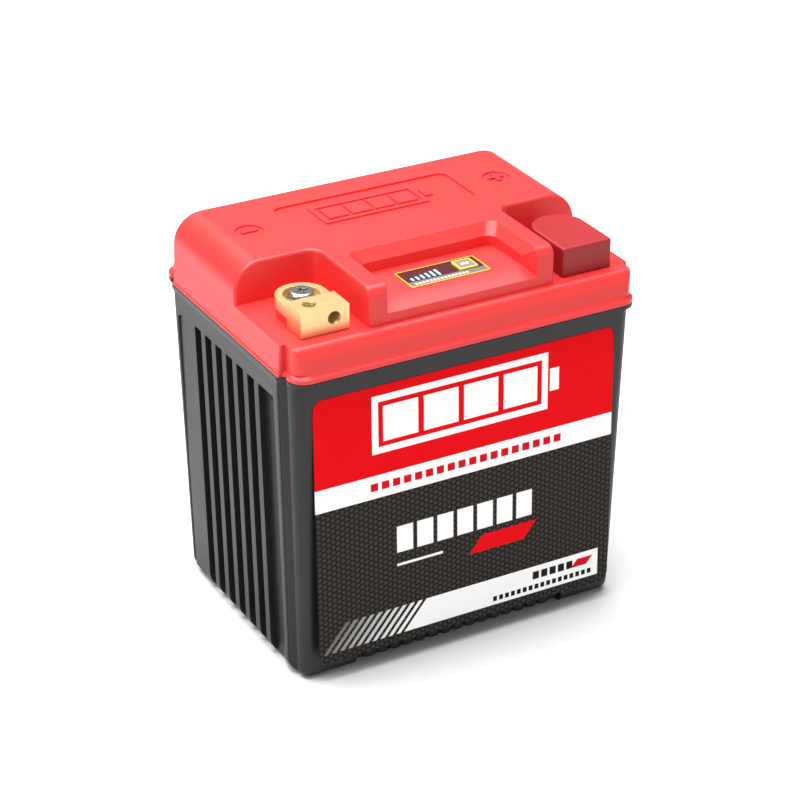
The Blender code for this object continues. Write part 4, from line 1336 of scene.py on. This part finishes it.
class BATTERY_OT_lid(bpy.types.Operator):
    """Model the stepped lid"""

    bl_idname = "battery.lid"
    bl_label = "Lid"

    def execute(self, context):
        make_lid(context.scene.battery)
        return {"FINISHED"}


class BATTERY_OT_label(bpy.types.Operator):
    """Lay the printed label in its recess"""

    bl_idname = "battery.label"
    bl_label = "Label"

    def execute(self, context):
        make_label(context.scene.battery)
        return {"FINISHED"}


class BATTERY_OT_terminals(bpy.types.Operator):
    """Model both terminals and their screws"""

    bl_idname = "battery.terminals"
    bl_label = "Terminals"

    def execute(self, context):
        brass_skin, steel = brass(), plated_steel()
        for side in (-1, 1):
            terminal(side, brass_skin)
            terminal_screw(side, steel)
        return {"FINISHED"}


class BATTERY_OT_cover(bpy.types.Operator):
    """Model the soft cover of the positive terminal"""

    bl_idname = "battery.cover"
    bl_label = "Cover"

    def execute(self, context):
        make_cover(context.scene.battery)
        return {"FINISHED"}


class BATTERY_OT_indicator(bpy.types.Operator):
    """Model the indicator's membrane and test button"""

    bl_idname = "battery.indicator"
    bl_label = "Indicator"

    def execute(self, context):
        make_panel()
        make_button()
        return {"FINISHED"}


class BATTERY_OT_inner(bpy.types.Operator):
    """Finish the cells, boards, wiring and foam inside"""

    bl_idname = "battery.inner"
    bl_label = "Inner pieces"

    def execute(self, context):
        finish_inner()
        return {"FINISHED"}


class BATTERY_OT_stage(bpy.types.Operator):
    """Set up the floor, the lights and the camera"""

    bl_idname = "battery.stage"
    bl_label = "Stage"

    def execute(self, context):
        make_stage()
        return {"FINISHED"}


STEPS = (
    BATTERY_OT_case, BATTERY_OT_lid, BATTERY_OT_label, BATTERY_OT_terminals,
    BATTERY_OT_cover, BATTERY_OT_indicator, BATTERY_OT_inner, BATTERY_OT_stage,
)


class BATTERY_PT_panel(bpy.types.Panel):
    """Lists the sizes, the colours and the pieces"""

    bl_idname = "BATTERY_PT_panel"
    bl_label = "Motorcycle Battery"
    bl_space_type = "VIEW_3D"
    bl_region_type = "UI"
    bl_category = "Battery"

    def draw(self, context):
        settings = context.scene.battery
        for name in settings.__annotations__:
            self.layout.prop(settings, name)
        for step in STEPS:
            self.layout.operator(step.bl_idname)


CLASSES = (BatterySettings, *STEPS, BATTERY_PT_panel)


def register():
    for cls in CLASSES:
        bpy.utils.register_class(cls)
    bpy.types.Scene.battery = bpy.props.PointerProperty(type=BatterySettings)


def unregister():
    del bpy.types.Scene.battery
    for cls in reversed(CLASSES):
        bpy.utils.unregister_class(cls)


def main():
    register()
    for step in STEPS:
        group, name = step.bl_idname.split(".")
        getattr(getattr(bpy.ops, group), name)()
    deselect()


if __name__ == "__main__":
    main()
